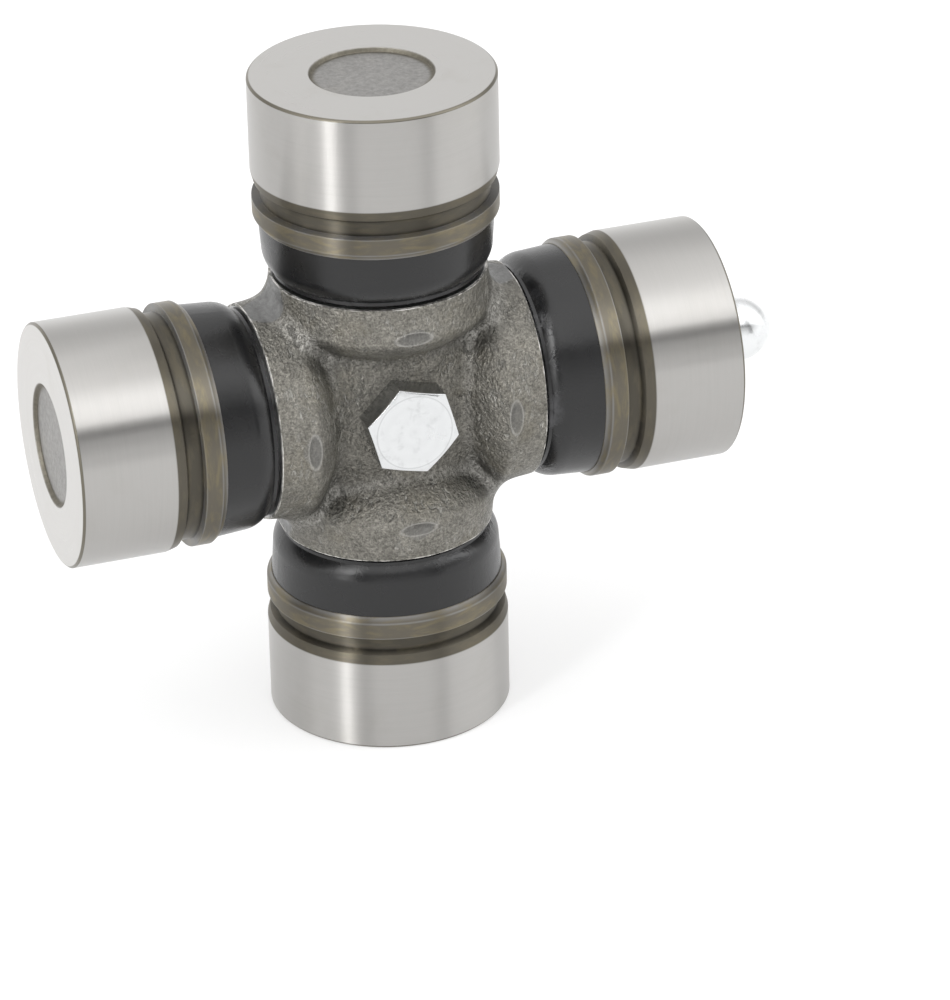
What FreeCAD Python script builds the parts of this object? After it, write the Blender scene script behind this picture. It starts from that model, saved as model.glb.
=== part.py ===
"""Universal joint cross: forged spider, four needle roller bearing cups, seals, plug and nipple."""
import FreeCAD, Part
import math
import os

import Sketcher
from FreeCAD import Placement, Rotation, Vector

doc = FreeCAD.newDocument("joint_cross")

# Driving dimensions, in millimetres, with what each one measures
SIZES = [
    ("cup_radius", 17.5, "ground outside of a bearing cup"),
    ("land_length", 13.65, "ground land, from the end face to the tapered strip"),
    ("rim_chamfer", 0.3, "chamfer round the end face"),
    ("dimple_radius", 8.84, "round recess in the end face"),
    ("dimple_depth", 0.6, "depth of that recess"),
    ("dimple_slope", 0.35, "run of the recess's sloping wall"),
    ("neck_length", 1.4, "tapered strip between the land and the groove"),
    ("neck_drop", 0.38, "radius that the tapered strip loses"),
    ("groove_slope", 0.4, "axial run of the groove's outer wall"),
    ("groove_depth", 1.3, "ring groove, below the land"),
    ("groove_width", 2.3, "flat floor of the ring groove"),
    ("lip_inset", 0.1, "lip, below the land"),
    ("lip_width", 2.45, "cylindrical part of the lip"),
    ("bevel_length", 0.85, "axial run of the bevel on the lip"),
    ("bevel_drop", 0.65, "radius that the bevel loses"),
    ("spigot_length", 2.9, "mouth of the cup, inside the seal"),
    ("spigot_wall", 1.5, "wall of the cup at its mouth"),
    ("floor_thickness", 4.5, "end wall of the cup"),
    ("race_wall", 3.46, "wall of the cup round its rollers"),
    ("needle_radius", 1.49, "needle roller"),
    ("needle_gap", 0.03, "least space between two rollers"),
    ("running_clearance", 0.03, "radial play on each side of the rollers"),
    ("end_clearance", 0.1, "axial play at the trunnion's end and the rollers' ends"),
    ("thrust_thickness", 1.5, "thrust washer under the cup's floor"),
    ("thrust_bore", 4.0, "radius of the hole in the thrust washer"),
    ("retainer_thickness", 1.2, "ring that keeps the rollers in the cup"),
    ("seat_rise", 1.5, "seal seat, above the journal"),
    ("seat_length", 4.0, "seal seat, from the shoulder outwards"),
    ("seat_taper", 1.2, "run from the seal seat down to the journal"),
    ("mouth_gap", 0.25, "space between that taper and the cup's mouth"),
    ("seal_clearance", 0.05, "play of the seal on its seat"),
    ("seal_gap", 0.5, "space between the seal and the shoulder"),
    ("seal_inset", 0.85, "barrel of the seal, below the cup's outside"),
    ("seal_taper", 0.3, "radius that the barrel loses towards its rounding"),
    ("seal_relief", 1.2, "hollow of the seal over the end of its seat"),
    ("seal_round", 3.0, "run of the rounding between the barrel and the collar"),
    ("collar_length", 0.5, "collar of the seal, next to the shoulder"),
    ("collar_inset", 2.5, "collar, below the cup's outside"),
    ("boss_inset", 1.5, "crest of a boss, below the cup's outside"),
    ("shoulder_drop", 0.5, "radius that a boss loses from its crest to the shoulder"),
    ("shoulder_step", 1.65, "machined shoulder, outside the rounded corners between the arms"),
    ("shoulder_chamfer", 0.2, "chamfer round the shoulder"),
    ("boss_length", 5.1, "tapering side of a boss, from its crest to the shoulder"),
    ("ogee_run", 6.4, "height over which a boss rises from the hub"),
    ("hub_half_depth", 10.5, "hub, from the middle plane to its face"),
    ("foot_inset", 0.6, "foot of a boss, below the hub's face"),
    ("hub_face_radius", 4.5, "flat middle of the hub's face"),
    ("hub_edge_inset", 1.3, "from an inside corner of the band to the crown's edge"),
    ("hub_crown_radius", 24.0, "radius of the crown, from the face to the band"),
    ("band_half_width", 2.9, "plate on the parting line, between the bosses"),
    ("band_inset", 0.65, "trimmed sides, below the crests of the bosses"),
    ("corner_radius", 2.6, "corner between two arms, in the parting plane"),
    ("flat_depth", 0.16, "small flat on the crest of each boss"),
    ("flat_radius", 2.7, "reach of that flat"),
    ("flat_inset", 4.0, "middle of that flat, from the shoulder"),
    ("journal_chamfer", 0.8, "end of each trunnion"),
    ("passage_radius", 2.75, "drilled grease passage"),
    ("reservoir_radius", 4.5, "wider mouth of the passage"),
    ("reservoir_depth", 6.0, "depth of that mouth"),
    ("port_radius", 4.0, "tapped port for the plug"),
    ("spot_margin", 0.67, "spot face, beyond the corners of the plug"),
    ("spot_depth", 0.3, "depth of the spot face"),
    ("plug_across_flats", 12.0, "hexagon of the plug"),
    ("plug_head", 4.7, "height of the plug's head"),
    ("plug_chamfer", 0.45, "chamfer at the corners of the head, along its axis"),
    ("plug_face_inset", 0.4, "round face inside that chamfer, from the flats"),
    ("plug_stem", 6.0, "length of the plug's thread"),
    ("plug_turn", 45.6, "corner of the hexagon, in degrees from the long axis"),
    ("nipple_stem_radius", 4.0, "tapped hole in the cup for the nipple"),
    ("nipple_hex", 9.0, "hexagon of the nipple, across flats"),
    ("nipple_hex_height", 3.0, "height of that hexagon"),
    ("nipple_neck_radius", 3.0, "neck under the nipple's head"),
    ("nipple_neck_length", 1.2, "length of that neck"),
    ("nipple_head_radius", 4.6, "round head of the nipple"),
    ("nipple_flare", 0.8, "run of the head's underside"),
    ("nipple_band", 0.9, "straight side of the head"),
    ("nipple_dome_height", 4.6, "head of the nipple, from its straight side to its tip"),
    ("nipple_tip_radius", 1.9, "flat tip of the nipple"),
    ("nipple_dome_radius", 4.9, "curve of the head, from its side to its tip"),
    ("nipple_port_radius", 0.8, "mouth in the tip"),
    ("nipple_port_depth", 1.6, "depth of that mouth"),
]

sheet = doc.addObject("Spreadsheet::Sheet", "Sizes")
for line, (alias, number, note) in enumerate(SIZES, start=1):
    sheet.set(f"A{line}", alias)
    sheet.set(f"B{line}", str(number))
    sheet.set(f"C{line}", note)
    sheet.setAlias(f"B{line}", alias)
doc.recompute()

# Where the trunnion of each arm points, as a turn about the front-to-back axis
ARMS = {"top": 0, "right": 90, "bottom": 180, "left": 270}
NIPPLE_ARM = "right"

# Radii of an arm's pieces
NECK_RADIUS = "(Sizes.cup_radius - Sizes.neck_drop)"
GROOVE_RADIUS = "(Sizes.cup_radius - Sizes.groove_depth)"
LIP_RADIUS = "(Sizes.cup_radius - Sizes.lip_inset)"
BEVEL_RADIUS = f"({LIP_RADIUS} - Sizes.bevel_drop)"
BORE_RADIUS = "(Sizes.cup_radius - Sizes.race_wall)"
PITCH_RADIUS = f"({BORE_RADIUS} - Sizes.running_clearance - Sizes.needle_radius)"
JOURNAL_RADIUS = f"({PITCH_RADIUS} - Sizes.needle_radius - Sizes.running_clearance)"
SPIGOT_RADIUS = f"({BORE_RADIUS} + Sizes.spigot_wall)"
SEAT_RADIUS = f"({JOURNAL_RADIUS} + Sizes.seat_rise)"
SEAL_BORE = f"({SEAT_RADIUS} + Sizes.seal_clearance)"
COLLAR_RADIUS = "(Sizes.cup_radius - Sizes.collar_inset)"
BARREL_RADIUS = "(Sizes.cup_radius - Sizes.seal_inset)"
TAPER_RADIUS = f"({BARREL_RADIUS} - Sizes.seal_taper)"
BOSS_RADIUS = "(Sizes.cup_radius - Sizes.boss_inset)"
SHOULDER_RADIUS = f"({BOSS_RADIUS} - Sizes.shoulder_drop)"
FOOT_RADIUS = "(Sizes.hub_half_depth - Sizes.foot_inset)"

# The trimmed sides, and how far their rounded inside corners reach along an arm
BAND_SIDE = f"({BOSS_RADIUS} - Sizes.band_inset)"
BAND_REACH = f"({BAND_SIDE} + Sizes.corner_radius)"
HUB_EDGE = f"(sqrt(2) * {BAND_REACH} - Sizes.corner_radius - Sizes.hub_edge_inset)"

# Places along an arm, from the crossing of the axes outwards
SHOULDER = f"({BAND_REACH} + Sizes.shoulder_step)"
BOSS_START = f"({SHOULDER} - Sizes.boss_length)"
WAIST = f"({BOSS_START} - Sizes.ogee_run)"
SEAT_END = f"({SHOULDER} + Sizes.seat_length)"
SEAL_START = f"({SHOULDER} + Sizes.seal_gap)"
COLLAR_END = f"({SEAL_START} + Sizes.collar_length)"
MOUTH = f"({SEAT_END} + Sizes.seat_taper + Sizes.mouth_gap)"
RETAINER_END = f"({MOUTH} + Sizes.retainer_thickness)"
BEVEL_END = f"({MOUTH} + Sizes.spigot_length)"
LIP_END = f"({BEVEL_END} + Sizes.bevel_length)"
GROOVE_END = f"({LIP_END} + Sizes.lip_width)"
GROOVE_START = f"({GROOVE_END} + Sizes.groove_width)"
NECK_END = f"({GROOVE_START} + Sizes.groove_slope)"
LAND_END = f"({NECK_END} + Sizes.neck_length)"
END = f"({LAND_END} + Sizes.land_length)"
BORE_END = f"({END} - Sizes.floor_thickness)"
THRUST_FACE = f"({BORE_END} - Sizes.thrust_thickness)"
JOURNAL_END = f"({THRUST_FACE} - Sizes.end_clearance)"
DIMPLE_FLOOR = f"({END} - Sizes.dimple_depth)"

# Depths of the front port and its plug, from the middle plane towards the front
SPOT_FACE = "(Sizes.hub_half_depth - Sizes.spot_depth)"
PLUG_FRONT = f"({SPOT_FACE} + Sizes.plug_head)"
PLUG_CORNER = "(Sizes.plug_across_flats / sqrt(3))"
PLUG_FACE = "(Sizes.plug_across_flats / 2 - Sizes.plug_face_inset)"
SPOT_RADIUS = f"({PLUG_CORNER} + Sizes.spot_margin)"

# Heights of the nipple, along its arm
NIPPLE_CORNER = "(Sizes.nipple_hex / sqrt(3))"
NECK_TOP = f"({DIMPLE_FLOOR} + Sizes.nipple_hex_height + Sizes.nipple_neck_length)"
HEAD_START = f"({NECK_TOP} + Sizes.nipple_flare)"
DOME_START = f"({HEAD_START} + Sizes.nipple_band)"
NIPPLE_TIP = f"({DOME_START} + Sizes.nipple_dome_height)"


def value(expression):
    """Number that an expression over the sheet gives now."""
    return float(sheet.evalExpression(expression.replace("Sizes.", "")))


def origin_part(body, role):
    """One of a body's own origin planes or axes."""
    return next(item for item in body.Origin.OriginFeatures if item.Role == role)


def new_body(name):
    """Empty body whose label names its file."""
    body = doc.addObject("PartDesign::Body", name)
    body.Label = name
    return body


def new_sketch(body, name, role="XZ_Plane", lift="0"):
    """Sketch on one of the body's own planes, lifted along the plane's normal."""
    sketch = body.newObject("Sketcher::SketchObject", name)
    sketch.AttachmentSupport = [(origin_part(body, role), "")]
    sketch.MapMode = "FlatFace"
    sketch.AttachmentOffset = Placement(Vector(0, 0, value(lift)), Rotation())
    sketch.setExpression("AttachmentOffset.Base.z", lift)
    return sketch


def hold(sketch, edge, end, across, along):
    """Holds one point of an edge at two expressions measured from the sketch's origin."""
    for kind, expression in (("DistanceX", across), ("DistanceY", along)):
        rule = sketch.addConstraint(Sketcher.Constraint(kind, -1, 1, edge, end, value(expression)))
        sketch.setExpression(f"Constraints[{rule}]", expression)


def nearest_end(sketch, edge, place):
    """1 for the start of an edge and 2 for its finish, whichever lies at the place."""
    to_start = sketch.getPoint(edge, 1).distanceToPoint(place)
    to_finish = sketch.getPoint(edge, 2).distanceToPoint(place)
    return 1 if to_start < to_finish else 2


def outline(sketch, corners):
    """Closed outline; a corner is (across, along) or (across, along, arc radius, side).

    The radius bends the edge that leaves the corner, to its left for side 1 and right for -1.
    """
    places = [Vector(value(corner[0]), value(corner[1]), 0) for corner in corners]
    following = places[1:] + places[:1]
    edges = []
    for corner, start, finish in zip(corners, places, following):
        if len(corner) == 2:
            shape = Part.LineSegment(start, finish)
        else:
            radius = value(corner[2])
            chord = finish - start
            rise = radius - math.sqrt(radius ** 2 - chord.Length ** 2 / 4)
            left = Vector(-chord.y, chord.x, 0).normalize()
            shape = Part.Arc(start, (start + finish) / 2 + left * rise * corner[3], finish)
        edges.append(sketch.addGeometry(shape, False))
    for index, corner in enumerate(corners):
        edge = edges[index]
        after = edges[(index + 1) % len(edges)]
        meeting = following[index]
        ends = (nearest_end(sketch, edge, meeting), nearest_end(sketch, after, meeting))
        sketch.addConstraint(Sketcher.Constraint("Coincident", edge, ends[0], after, ends[1]))
        hold(sketch, edge, nearest_end(sketch, edge, places[index]), corner[0], corner[1])
        if len(corner) > 2:
            rule = sketch.addConstraint(Sketcher.Constraint("Radius", edge, value(corner[2])))
            sketch.setExpression(f"Constraints[{rule}]", corner[2])


def circle(sketch, radius, across="0", along="0"):
    """Circle held at two expressions, with its radius bound to a third."""
    centre = Vector(value(across), value(along), 0)
    edge = sketch.addGeometry(Part.Circle(centre, Vector(0, 0, 1), value(radius)), False)
    hold(sketch, edge, 3, across, along)
    rule = sketch.addConstraint(Sketcher.Constraint("Radius", edge, value(radius)))
    sketch.setExpression(f"Constraints[{rule}]", radius)


def turn(body, name, corners, kind="Revolution", role="XZ_Plane", axis="V_Axis"):
    """Turned solid, or a turned cut, from a closed section on one side of its axis."""
    sketch = new_sketch(body, f"{name}_section", role)
    outline(sketch, corners)
    feature = body.newObject(f"PartDesign::{kind}", name)
    feature.Profile = sketch
    feature.ReferenceAxis = (sketch, [axis])
    feature.Angle = 360
    doc.recompute()
    return feature


def pad(body, sketch, name, length, symmetric=False):
    """Solid from a sketch, away from its plane or to both sides of it."""
    feature = body.newObject("PartDesign::Pad", name)
    feature.Profile = sketch
    feature.Length = value(length)
    feature.setExpression("Length", length)
    feature.SideType = "Symmetric" if symmetric else "One side"
    doc.recompute()
    return feature


def round_pattern(body, name, originals, role, count):
    """Copies of features, evenly spread round one of the body's axes."""
    feature = body.newObject("PartDesign::PolarPattern", name)
    feature.Originals = originals
    feature.Axis = (origin_part(body, role), [""])
    feature.Angle = 360
    feature.Occurrences = count
    body.Tip = feature
    doc.recompute()
    return feature


def hexagon(sketch, corner_radius, turn_degrees="0"):
    """Hexagon by the reach of its corners and the angle of the first one."""
    angles = [f"({turn_degrees} + {60 * step})" for step in range(6)]
    corners = [(f"{corner_radius} * cos{angle}", f"{corner_radius} * sin{angle}") for angle in angles]
    outline(sketch, corners)


def aim(body, arm):
    """Turns a piece that was drawn on the top arm onto its own arm."""
    body.Placement = Placement(Vector(0, 0, 0), Rotation(Vector(0, 1, 0), ARMS[arm]))
    return body


def make_spider():
    """Forged cross: four bosses on a dished hub, with ground trunnions and drilled passages."""
    body = new_body("spider")

    # The crowned hub fills the spaces between the bosses
    turn(body, "hub", [
        ("-Sizes.hub_half_depth", "0"),
        ("Sizes.hub_half_depth", "0"),
        ("Sizes.hub_half_depth", "Sizes.hub_face_radius", "Sizes.hub_crown_radius", -1),
        ("Sizes.band_half_width", HUB_EDGE),
        ("-Sizes.band_half_width", HUB_EDGE, "Sizes.hub_crown_radius", -1),
        ("-Sizes.hub_half_depth", "Sizes.hub_face_radius"),
    ], role="YZ_Plane", axis="H_Axis")

    # An ogee of two equal arcs lifts each boss off the hub
    rise = f"({BOSS_RADIUS} - {FOOT_RADIUS})"
    ogee = f"(({rise} * {rise} + Sizes.ogee_run * Sizes.ogee_run) / (4 * {rise}))"
    arm = turn(body, "arm", [
        ("0", "0"),
        (FOOT_RADIUS, "0"),
        (FOOT_RADIUS, WAIST, ogee, 1),
        (f"({BOSS_RADIUS} + {FOOT_RADIUS}) / 2", f"({BOSS_START} + {WAIST}) / 2", ogee, -1),
        (BOSS_RADIUS, BOSS_START),
        (SHOULDER_RADIUS, f"{SHOULDER} - Sizes.shoulder_chamfer"),
        (f"{SHOULDER_RADIUS} - Sizes.shoulder_chamfer", SHOULDER),
        (SEAT_RADIUS, SHOULDER),
        (SEAT_RADIUS, SEAT_END),
        (JOURNAL_RADIUS, f"{SEAT_END} + Sizes.seat_taper"),
        (JOURNAL_RADIUS, f"{JOURNAL_END} - Sizes.journal_chamfer"),
        (f"{JOURNAL_RADIUS} - Sizes.journal_chamfer", JOURNAL_END),
        ("0", JOURNAL_END),
    ])
    round_pattern(body, "arms", [arm], "Y_Axis", len(ARMS))

    # A plate on the parting line joins the bosses
    plate = new_sketch(body, "plate_outline")
    outline(plate, [(f"{across} * {BAND_REACH}", f"{along} * {BAND_REACH}")
                    for across, along in ((1, 1), (1, -1), (-1, -1), (-1, 1))])
    pad(body, plate, "plate", "2 * Sizes.band_half_width", symmetric=True)

    # Trimming leaves flat sides along the parting line, with a rounded corner between two arms
    corner = new_sketch(body, "trim_outline")
    outline(corner, [
        (BAND_SIDE, BAND_REACH, "Sizes.corner_radius", -1),
        (BAND_REACH, BAND_SIDE),
        (SEAT_END, BAND_SIDE),
        (SEAT_END, SEAT_END),
        (BAND_SIDE, SEAT_END),
    ])
    trim = body.newObject("PartDesign::Pocket", "trim")
    trim.Profile = corner
    trim.SideType = "Symmetric"
    trim.setExpression("Length", "2 * Sizes.cup_radius")
    doc.recompute()
    round_pattern(body, "trims", [trim], "Y_Axis", len(ARMS))

    # A small flat is struck on the crest of each boss, front and back
    flats = []
    for name, side in (("flat_in_front", 1), ("flat_behind", -1)):
        crest = new_sketch(body, f"{name}_outline", lift=f"{side} * Sizes.cup_radius")
        circle(crest, "Sizes.flat_radius", along=f"{SHOULDER} - Sizes.flat_inset")
        flat = body.newObject("PartDesign::Pocket", name)
        flat.Profile = crest
        flat.Reversed = side < 0
        flat.setExpression("Length", "Sizes.boss_inset + Sizes.flat_depth")
        doc.recompute()
        flats.append(flat)
    round_pattern(body, "flats", flats, "Y_Axis", len(ARMS))

    # The grease passage of each arm meets the others at the centre
    passage = turn(body, "passage", [
        ("0", "0"),
        ("Sizes.passage_radius", "0"),
        ("Sizes.passage_radius", f"{JOURNAL_END} - Sizes.reservoir_depth"),
        ("Sizes.reservoir_radius",
         f"{JOURNAL_END} - Sizes.reservoir_depth + Sizes.reservoir_radius - Sizes.passage_radius"),
        ("Sizes.reservoir_radius", THRUST_FACE),
        ("0", THRUST_FACE),
    ], kind="Groove")
    round_pattern(body, "passages", [passage], "Y_Axis", len(ARMS))

    # The port for the plug opens at a spot face in the middle of the hub
    turn(body, "port", [
        ("0", "0"),
        (f"-{PLUG_FRONT}", "0"),
        (f"-{PLUG_FRONT}", SPOT_RADIUS),
        (f"-{SPOT_FACE}", SPOT_RADIUS),
        (f"-{SPOT_FACE}", "Sizes.port_radius"),
        ("0", "Sizes.port_radius"),
    ], kind="Groove", role="YZ_Plane", axis="H_Axis")
    return body


def make_plug():
    """Hexagon-headed plug that closes the port at the front of the hub."""
    body = new_body("centre_plug")
    head = new_sketch(body, "head_outline", lift=SPOT_FACE)
    hexagon(head, PLUG_CORNER, "Sizes.plug_turn")
    pad(body, head, "head", "Sizes.plug_head")
    turn(body, "stem", [
        (f"-{SPOT_FACE}", "0"),
        (f"-{SPOT_FACE}", "Sizes.port_radius"),
        (f"-{SPOT_FACE} + Sizes.plug_stem", "Sizes.port_radius"),
        (f"-{SPOT_FACE} + Sizes.plug_stem", "0"),
    ], role="YZ_Plane", axis="H_Axis")
    slope = f"(Sizes.plug_chamfer / ({PLUG_CORNER} - {PLUG_FACE}))"
    turn(body, "chamfer", [
        (f"-{PLUG_FRONT}", PLUG_FACE),
        (f"-{PLUG_FRONT}", SPOT_RADIUS),
        (f"-{PLUG_FRONT} + {slope} * ({SPOT_RADIUS} - {PLUG_FACE})", SPOT_RADIUS),
    ], kind="Groove", role="YZ_Plane", axis="H_Axis")
    return body


def make_cup(arm):
    """Turned bearing cup: ground land, ring groove, lip, and the rollers' race inside."""
    body = new_body(f"bearing_cup_{arm}")
    centre = "Sizes.nipple_stem_radius" if arm == NIPPLE_ARM else "0"
    turn(body, "cup", [
        (centre, DIMPLE_FLOOR),
        ("Sizes.dimple_radius - Sizes.dimple_slope", DIMPLE_FLOOR),
        ("Sizes.dimple_radius", END),
        ("Sizes.cup_radius - Sizes.rim_chamfer", END),
        ("Sizes.cup_radius", f"{END} - Sizes.rim_chamfer"),
        ("Sizes.cup_radius", LAND_END),
        (NECK_RADIUS, NECK_END),
        (GROOVE_RADIUS, GROOVE_START),
        (GROOVE_RADIUS, GROOVE_END),
        (LIP_RADIUS, GROOVE_END),
        (LIP_RADIUS, LIP_END),
        (BEVEL_RADIUS, BEVEL_END),
        (SPIGOT_RADIUS, BEVEL_END),
        (SPIGOT_RADIUS, MOUTH),
        (BORE_RADIUS, MOUTH),
        (BORE_RADIUS, BORE_END),
        (centre, BORE_END),
    ])
    return aim(body, arm)


def make_needles(arm):
    """Full set of needle rollers between the trunnion and the race."""
    body = new_body(f"needle_rollers_{arm}")
    body.AllowCompound = True
    start = f"({RETAINER_END} + Sizes.end_clearance)"
    finish = f"({THRUST_FACE} - Sizes.end_clearance)"
    section = new_sketch(body, "roller_outline", role="XY_Plane", lift=start)
    circle(section, "Sizes.needle_radius", across=PITCH_RADIUS)
    roller = pad(body, section, "roller", f"{finish} - {start}")
    spacing = 2 * value("Sizes.needle_radius") + value("Sizes.needle_gap")
    share = 2 * math.asin(spacing / (2 * value(PITCH_RADIUS)))
    round_pattern(body, "rollers", [roller], "Z_Axis", int(2 * math.pi / share))
    return aim(body, arm)


def make_thrust_washer(arm):
    """Flat washer that takes the trunnion's end thrust."""
    body = new_body(f"thrust_washer_{arm}")
    turn(body, "washer", [
        ("Sizes.thrust_bore", THRUST_FACE),
        (BORE_RADIUS, THRUST_FACE),
        (BORE_RADIUS, BORE_END),
        ("Sizes.thrust_bore", BORE_END),
    ])
    return aim(body, arm)


def make_retainer(arm):
    """Ring in the cup's mouth that keeps the rollers in."""
    body = new_body(f"roller_retainer_{arm}")
    inside = f"({JOURNAL_RADIUS} + 2 * Sizes.running_clearance)"
    turn(body, "ring", [
        (inside, MOUTH),
        (BORE_RADIUS, MOUTH),
        (BORE_RADIUS, RETAINER_END),
        (inside, RETAINER_END),
    ])
    return aim(body, arm)


def make_seal(arm):
    """Moulded rubber seal: a barrel over the cup's mouth and a collar on the seal seat."""
    body = new_body(f"dust_seal_{arm}")
    drop = f"({TAPER_RADIUS} - {COLLAR_RADIUS})"
    rounding = f"(({drop} * {drop} + Sizes.seal_round * Sizes.seal_round) / (2 * {drop}))"
    turn(body, "seal", [
        (SPIGOT_RADIUS, BEVEL_END),
        (BARREL_RADIUS, BEVEL_END),
        (TAPER_RADIUS, f"{COLLAR_END} + Sizes.seal_round", rounding, 1),
        (COLLAR_RADIUS, COLLAR_END),
        (COLLAR_RADIUS, SEAL_START),
        (SEAL_BORE, SEAL_START),
        (SEAL_BORE, f"{SEAT_END} - Sizes.seal_relief"),
        (f"{SEAL_BORE} + Sizes.seal_relief", SEAT_END),
        (f"{SEAL_BORE} + Sizes.seal_relief", MOUTH),
        (SPIGOT_RADIUS, MOUTH),
    ])
    return aim(body, arm)


def make_nipple():
    """Grease nipple in the end of one cup: tapped stem, hexagon, neck and domed head."""
    body = new_body("grease_nipple")
    seat = new_sketch(body, "hexagon_outline", role="XY_Plane", lift=DIMPLE_FLOOR)
    hexagon(seat, NIPPLE_CORNER)
    pad(body, seat, "hexagon", "Sizes.nipple_hex_height")
    turn(body, "nipple", [
        ("0", BORE_END),
        ("Sizes.nipple_stem_radius", BORE_END),
        ("Sizes.nipple_stem_radius", DIMPLE_FLOOR),
        ("Sizes.nipple_neck_radius", DIMPLE_FLOOR),
        ("Sizes.nipple_neck_radius", NECK_TOP),
        ("Sizes.nipple_head_radius", HEAD_START),
        ("Sizes.nipple_head_radius", DOME_START, "Sizes.nipple_dome_radius", -1),
        ("Sizes.nipple_tip_radius", NIPPLE_TIP),
        ("Sizes.nipple_port_radius", NIPPLE_TIP),
        ("Sizes.nipple_port_radius", f"{NIPPLE_TIP} - Sizes.nipple_port_depth"),
        ("0", f"{NIPPLE_TIP} - Sizes.nipple_port_depth"),
    ])
    return aim(body, NIPPLE_ARM)


def check(pieces):
    """Stops if any object failed or any piece has no sound solid."""
    doc.recompute()
    for item in doc.Objects:
        if "Invalid" in item.State or "Error" in item.State:
            raise RuntimeError(f"{item.Name} failed: {item.State}")
    for piece in pieces:
        if piece.Shape.isNull() or not piece.Shape.isValid():
            raise RuntimeError(f"{piece.Label} has no sound shape")


pieces = [make_spider(), make_plug(), make_nipple()]
for arm in ARMS:
    pieces.append(make_cup(arm))
    pieces.append(make_needles(arm))
    pieces.append(make_thrust_washer(arm))
    pieces.append(make_retainer(arm))
    pieces.append(make_seal(arm))
check(pieces)

os.makedirs("parts", exist_ok=True)
for piece in pieces:
    piece.Shape.exportStep(os.path.join("parts", f"{piece.Label}.step"))
    box = piece.Shape.BoundBox
    print(f"{piece.Label}: {len(piece.Shape.Solids)} solids, {piece.Shape.Volume:.1f} mm3, "
          f"x {box.XMin:.2f} to {box.XMax:.2f}, y {box.YMin:.2f} to {box.YMax:.2f}, "
          f"z {box.ZMin:.2f} to {box.ZMax:.2f}")
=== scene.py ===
import math

import bmesh
import bpy
import numpy as np
from bpy.props import FloatProperty, FloatVectorProperty, IntProperty, PointerProperty
from bpy.types import Operator, Panel, PropertyGroup
from mathutils import Matrix, Vector


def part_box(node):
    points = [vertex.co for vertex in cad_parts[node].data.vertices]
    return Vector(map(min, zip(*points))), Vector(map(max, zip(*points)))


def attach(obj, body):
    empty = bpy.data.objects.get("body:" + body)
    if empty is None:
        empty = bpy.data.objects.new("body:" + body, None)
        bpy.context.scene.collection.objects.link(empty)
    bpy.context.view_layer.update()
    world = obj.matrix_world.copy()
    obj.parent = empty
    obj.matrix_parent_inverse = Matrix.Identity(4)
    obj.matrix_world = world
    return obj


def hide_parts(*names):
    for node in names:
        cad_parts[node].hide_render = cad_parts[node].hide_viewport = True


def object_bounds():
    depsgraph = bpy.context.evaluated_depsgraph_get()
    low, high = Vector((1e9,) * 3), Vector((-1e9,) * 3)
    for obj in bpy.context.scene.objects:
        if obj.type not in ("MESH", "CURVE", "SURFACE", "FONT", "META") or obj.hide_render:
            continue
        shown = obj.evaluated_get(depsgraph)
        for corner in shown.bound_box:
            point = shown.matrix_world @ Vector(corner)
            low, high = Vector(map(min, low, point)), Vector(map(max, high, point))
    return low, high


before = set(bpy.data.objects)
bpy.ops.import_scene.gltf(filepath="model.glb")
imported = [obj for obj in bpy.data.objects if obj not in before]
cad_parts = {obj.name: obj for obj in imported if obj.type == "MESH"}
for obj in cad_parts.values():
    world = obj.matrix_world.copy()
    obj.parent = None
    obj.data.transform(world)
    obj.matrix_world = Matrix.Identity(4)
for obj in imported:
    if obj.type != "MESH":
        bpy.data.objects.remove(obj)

bl_info = {
    "name": "Universal Joint Cross",
    "version": (1, 0, 0),
    "blender": (4, 5, 0),
    "location": "View3D > Sidebar > Joint Cross",
    "description": "Dresses the packed universal joint cross: forging, cups, seals, plug and nipple",
    "category": "Object",
}

CAD_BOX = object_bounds()

# Turn of each arm about the front-to-back axis, in degrees
ARMS = {"top": 0, "right": 90, "bottom": 180, "left": 270}
NIPPLE_ARM = "right"

# Places and radii that the frame gives, in metres
CUP_LOW, CUP_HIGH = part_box("bearing_cup_top")
SEAL_LOW, SEAL_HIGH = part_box("dust_seal_top")
WASHER_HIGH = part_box("thrust_washer_top")[1]
ROLLERS_LOW, ROLLERS_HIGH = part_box("needle_rollers_top")
SPIDER_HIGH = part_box("spider")[1]
END = CUP_HIGH.z
MOUTH = CUP_LOW.z
CUP_RADIUS = CUP_HIGH.x
BORE_END = WASHER_HIGH.z
BORE_RADIUS = WASHER_HIGH.x
BEVEL_END = SEAL_HIGH.z
SEAL_START = SEAL_LOW.z
JOURNAL_END = SPIDER_HIGH.z

MM = 0.001
MICRON = 0.000001

# How widely two bosses, and the plate, run into what they meet, as a share of the valley blend
BOSS_BLEND = 1.6
PLATE_BLEND = 0.5

# Tones of films, wear and dirt, and of painted shade and painted highlights, as linear red, green and blue
LIP_TINT = (0.25, 0.215, 0.14)
LAND_HAZE = (0.36, 0.345, 0.31)
RIM_TONE = (0.13, 0.125, 0.11)
RECESS_WALL = (0.16, 0.148, 0.12)
END_HAZE = (0.42, 0.4, 0.35)
OLIVE_FILM = (0.2, 0.18, 0.13)
WORN_SKIN = (0.42, 0.41, 0.38)
CREST_HIGHLIGHT = (0.42, 0.41, 0.385)
DENT_HIGHLIGHT = (0.42, 0.41, 0.39)
DENT_SHADE = (0.14, 0.138, 0.132)
HOLLOW_SHADE = (0.1, 0.098, 0.09)
TRIMMED_STEEL = (0.185, 0.185, 0.183)
SHOULDER_HIGHLIGHT = (0.8, 0.78, 0.74)


def length(name, default, description):
    """Length property with its default in metres."""
    return FloatProperty(name=name, description=description, default=default, min=0.0,
                         subtype="DISTANCE", unit="LENGTH", precision=5)


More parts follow.
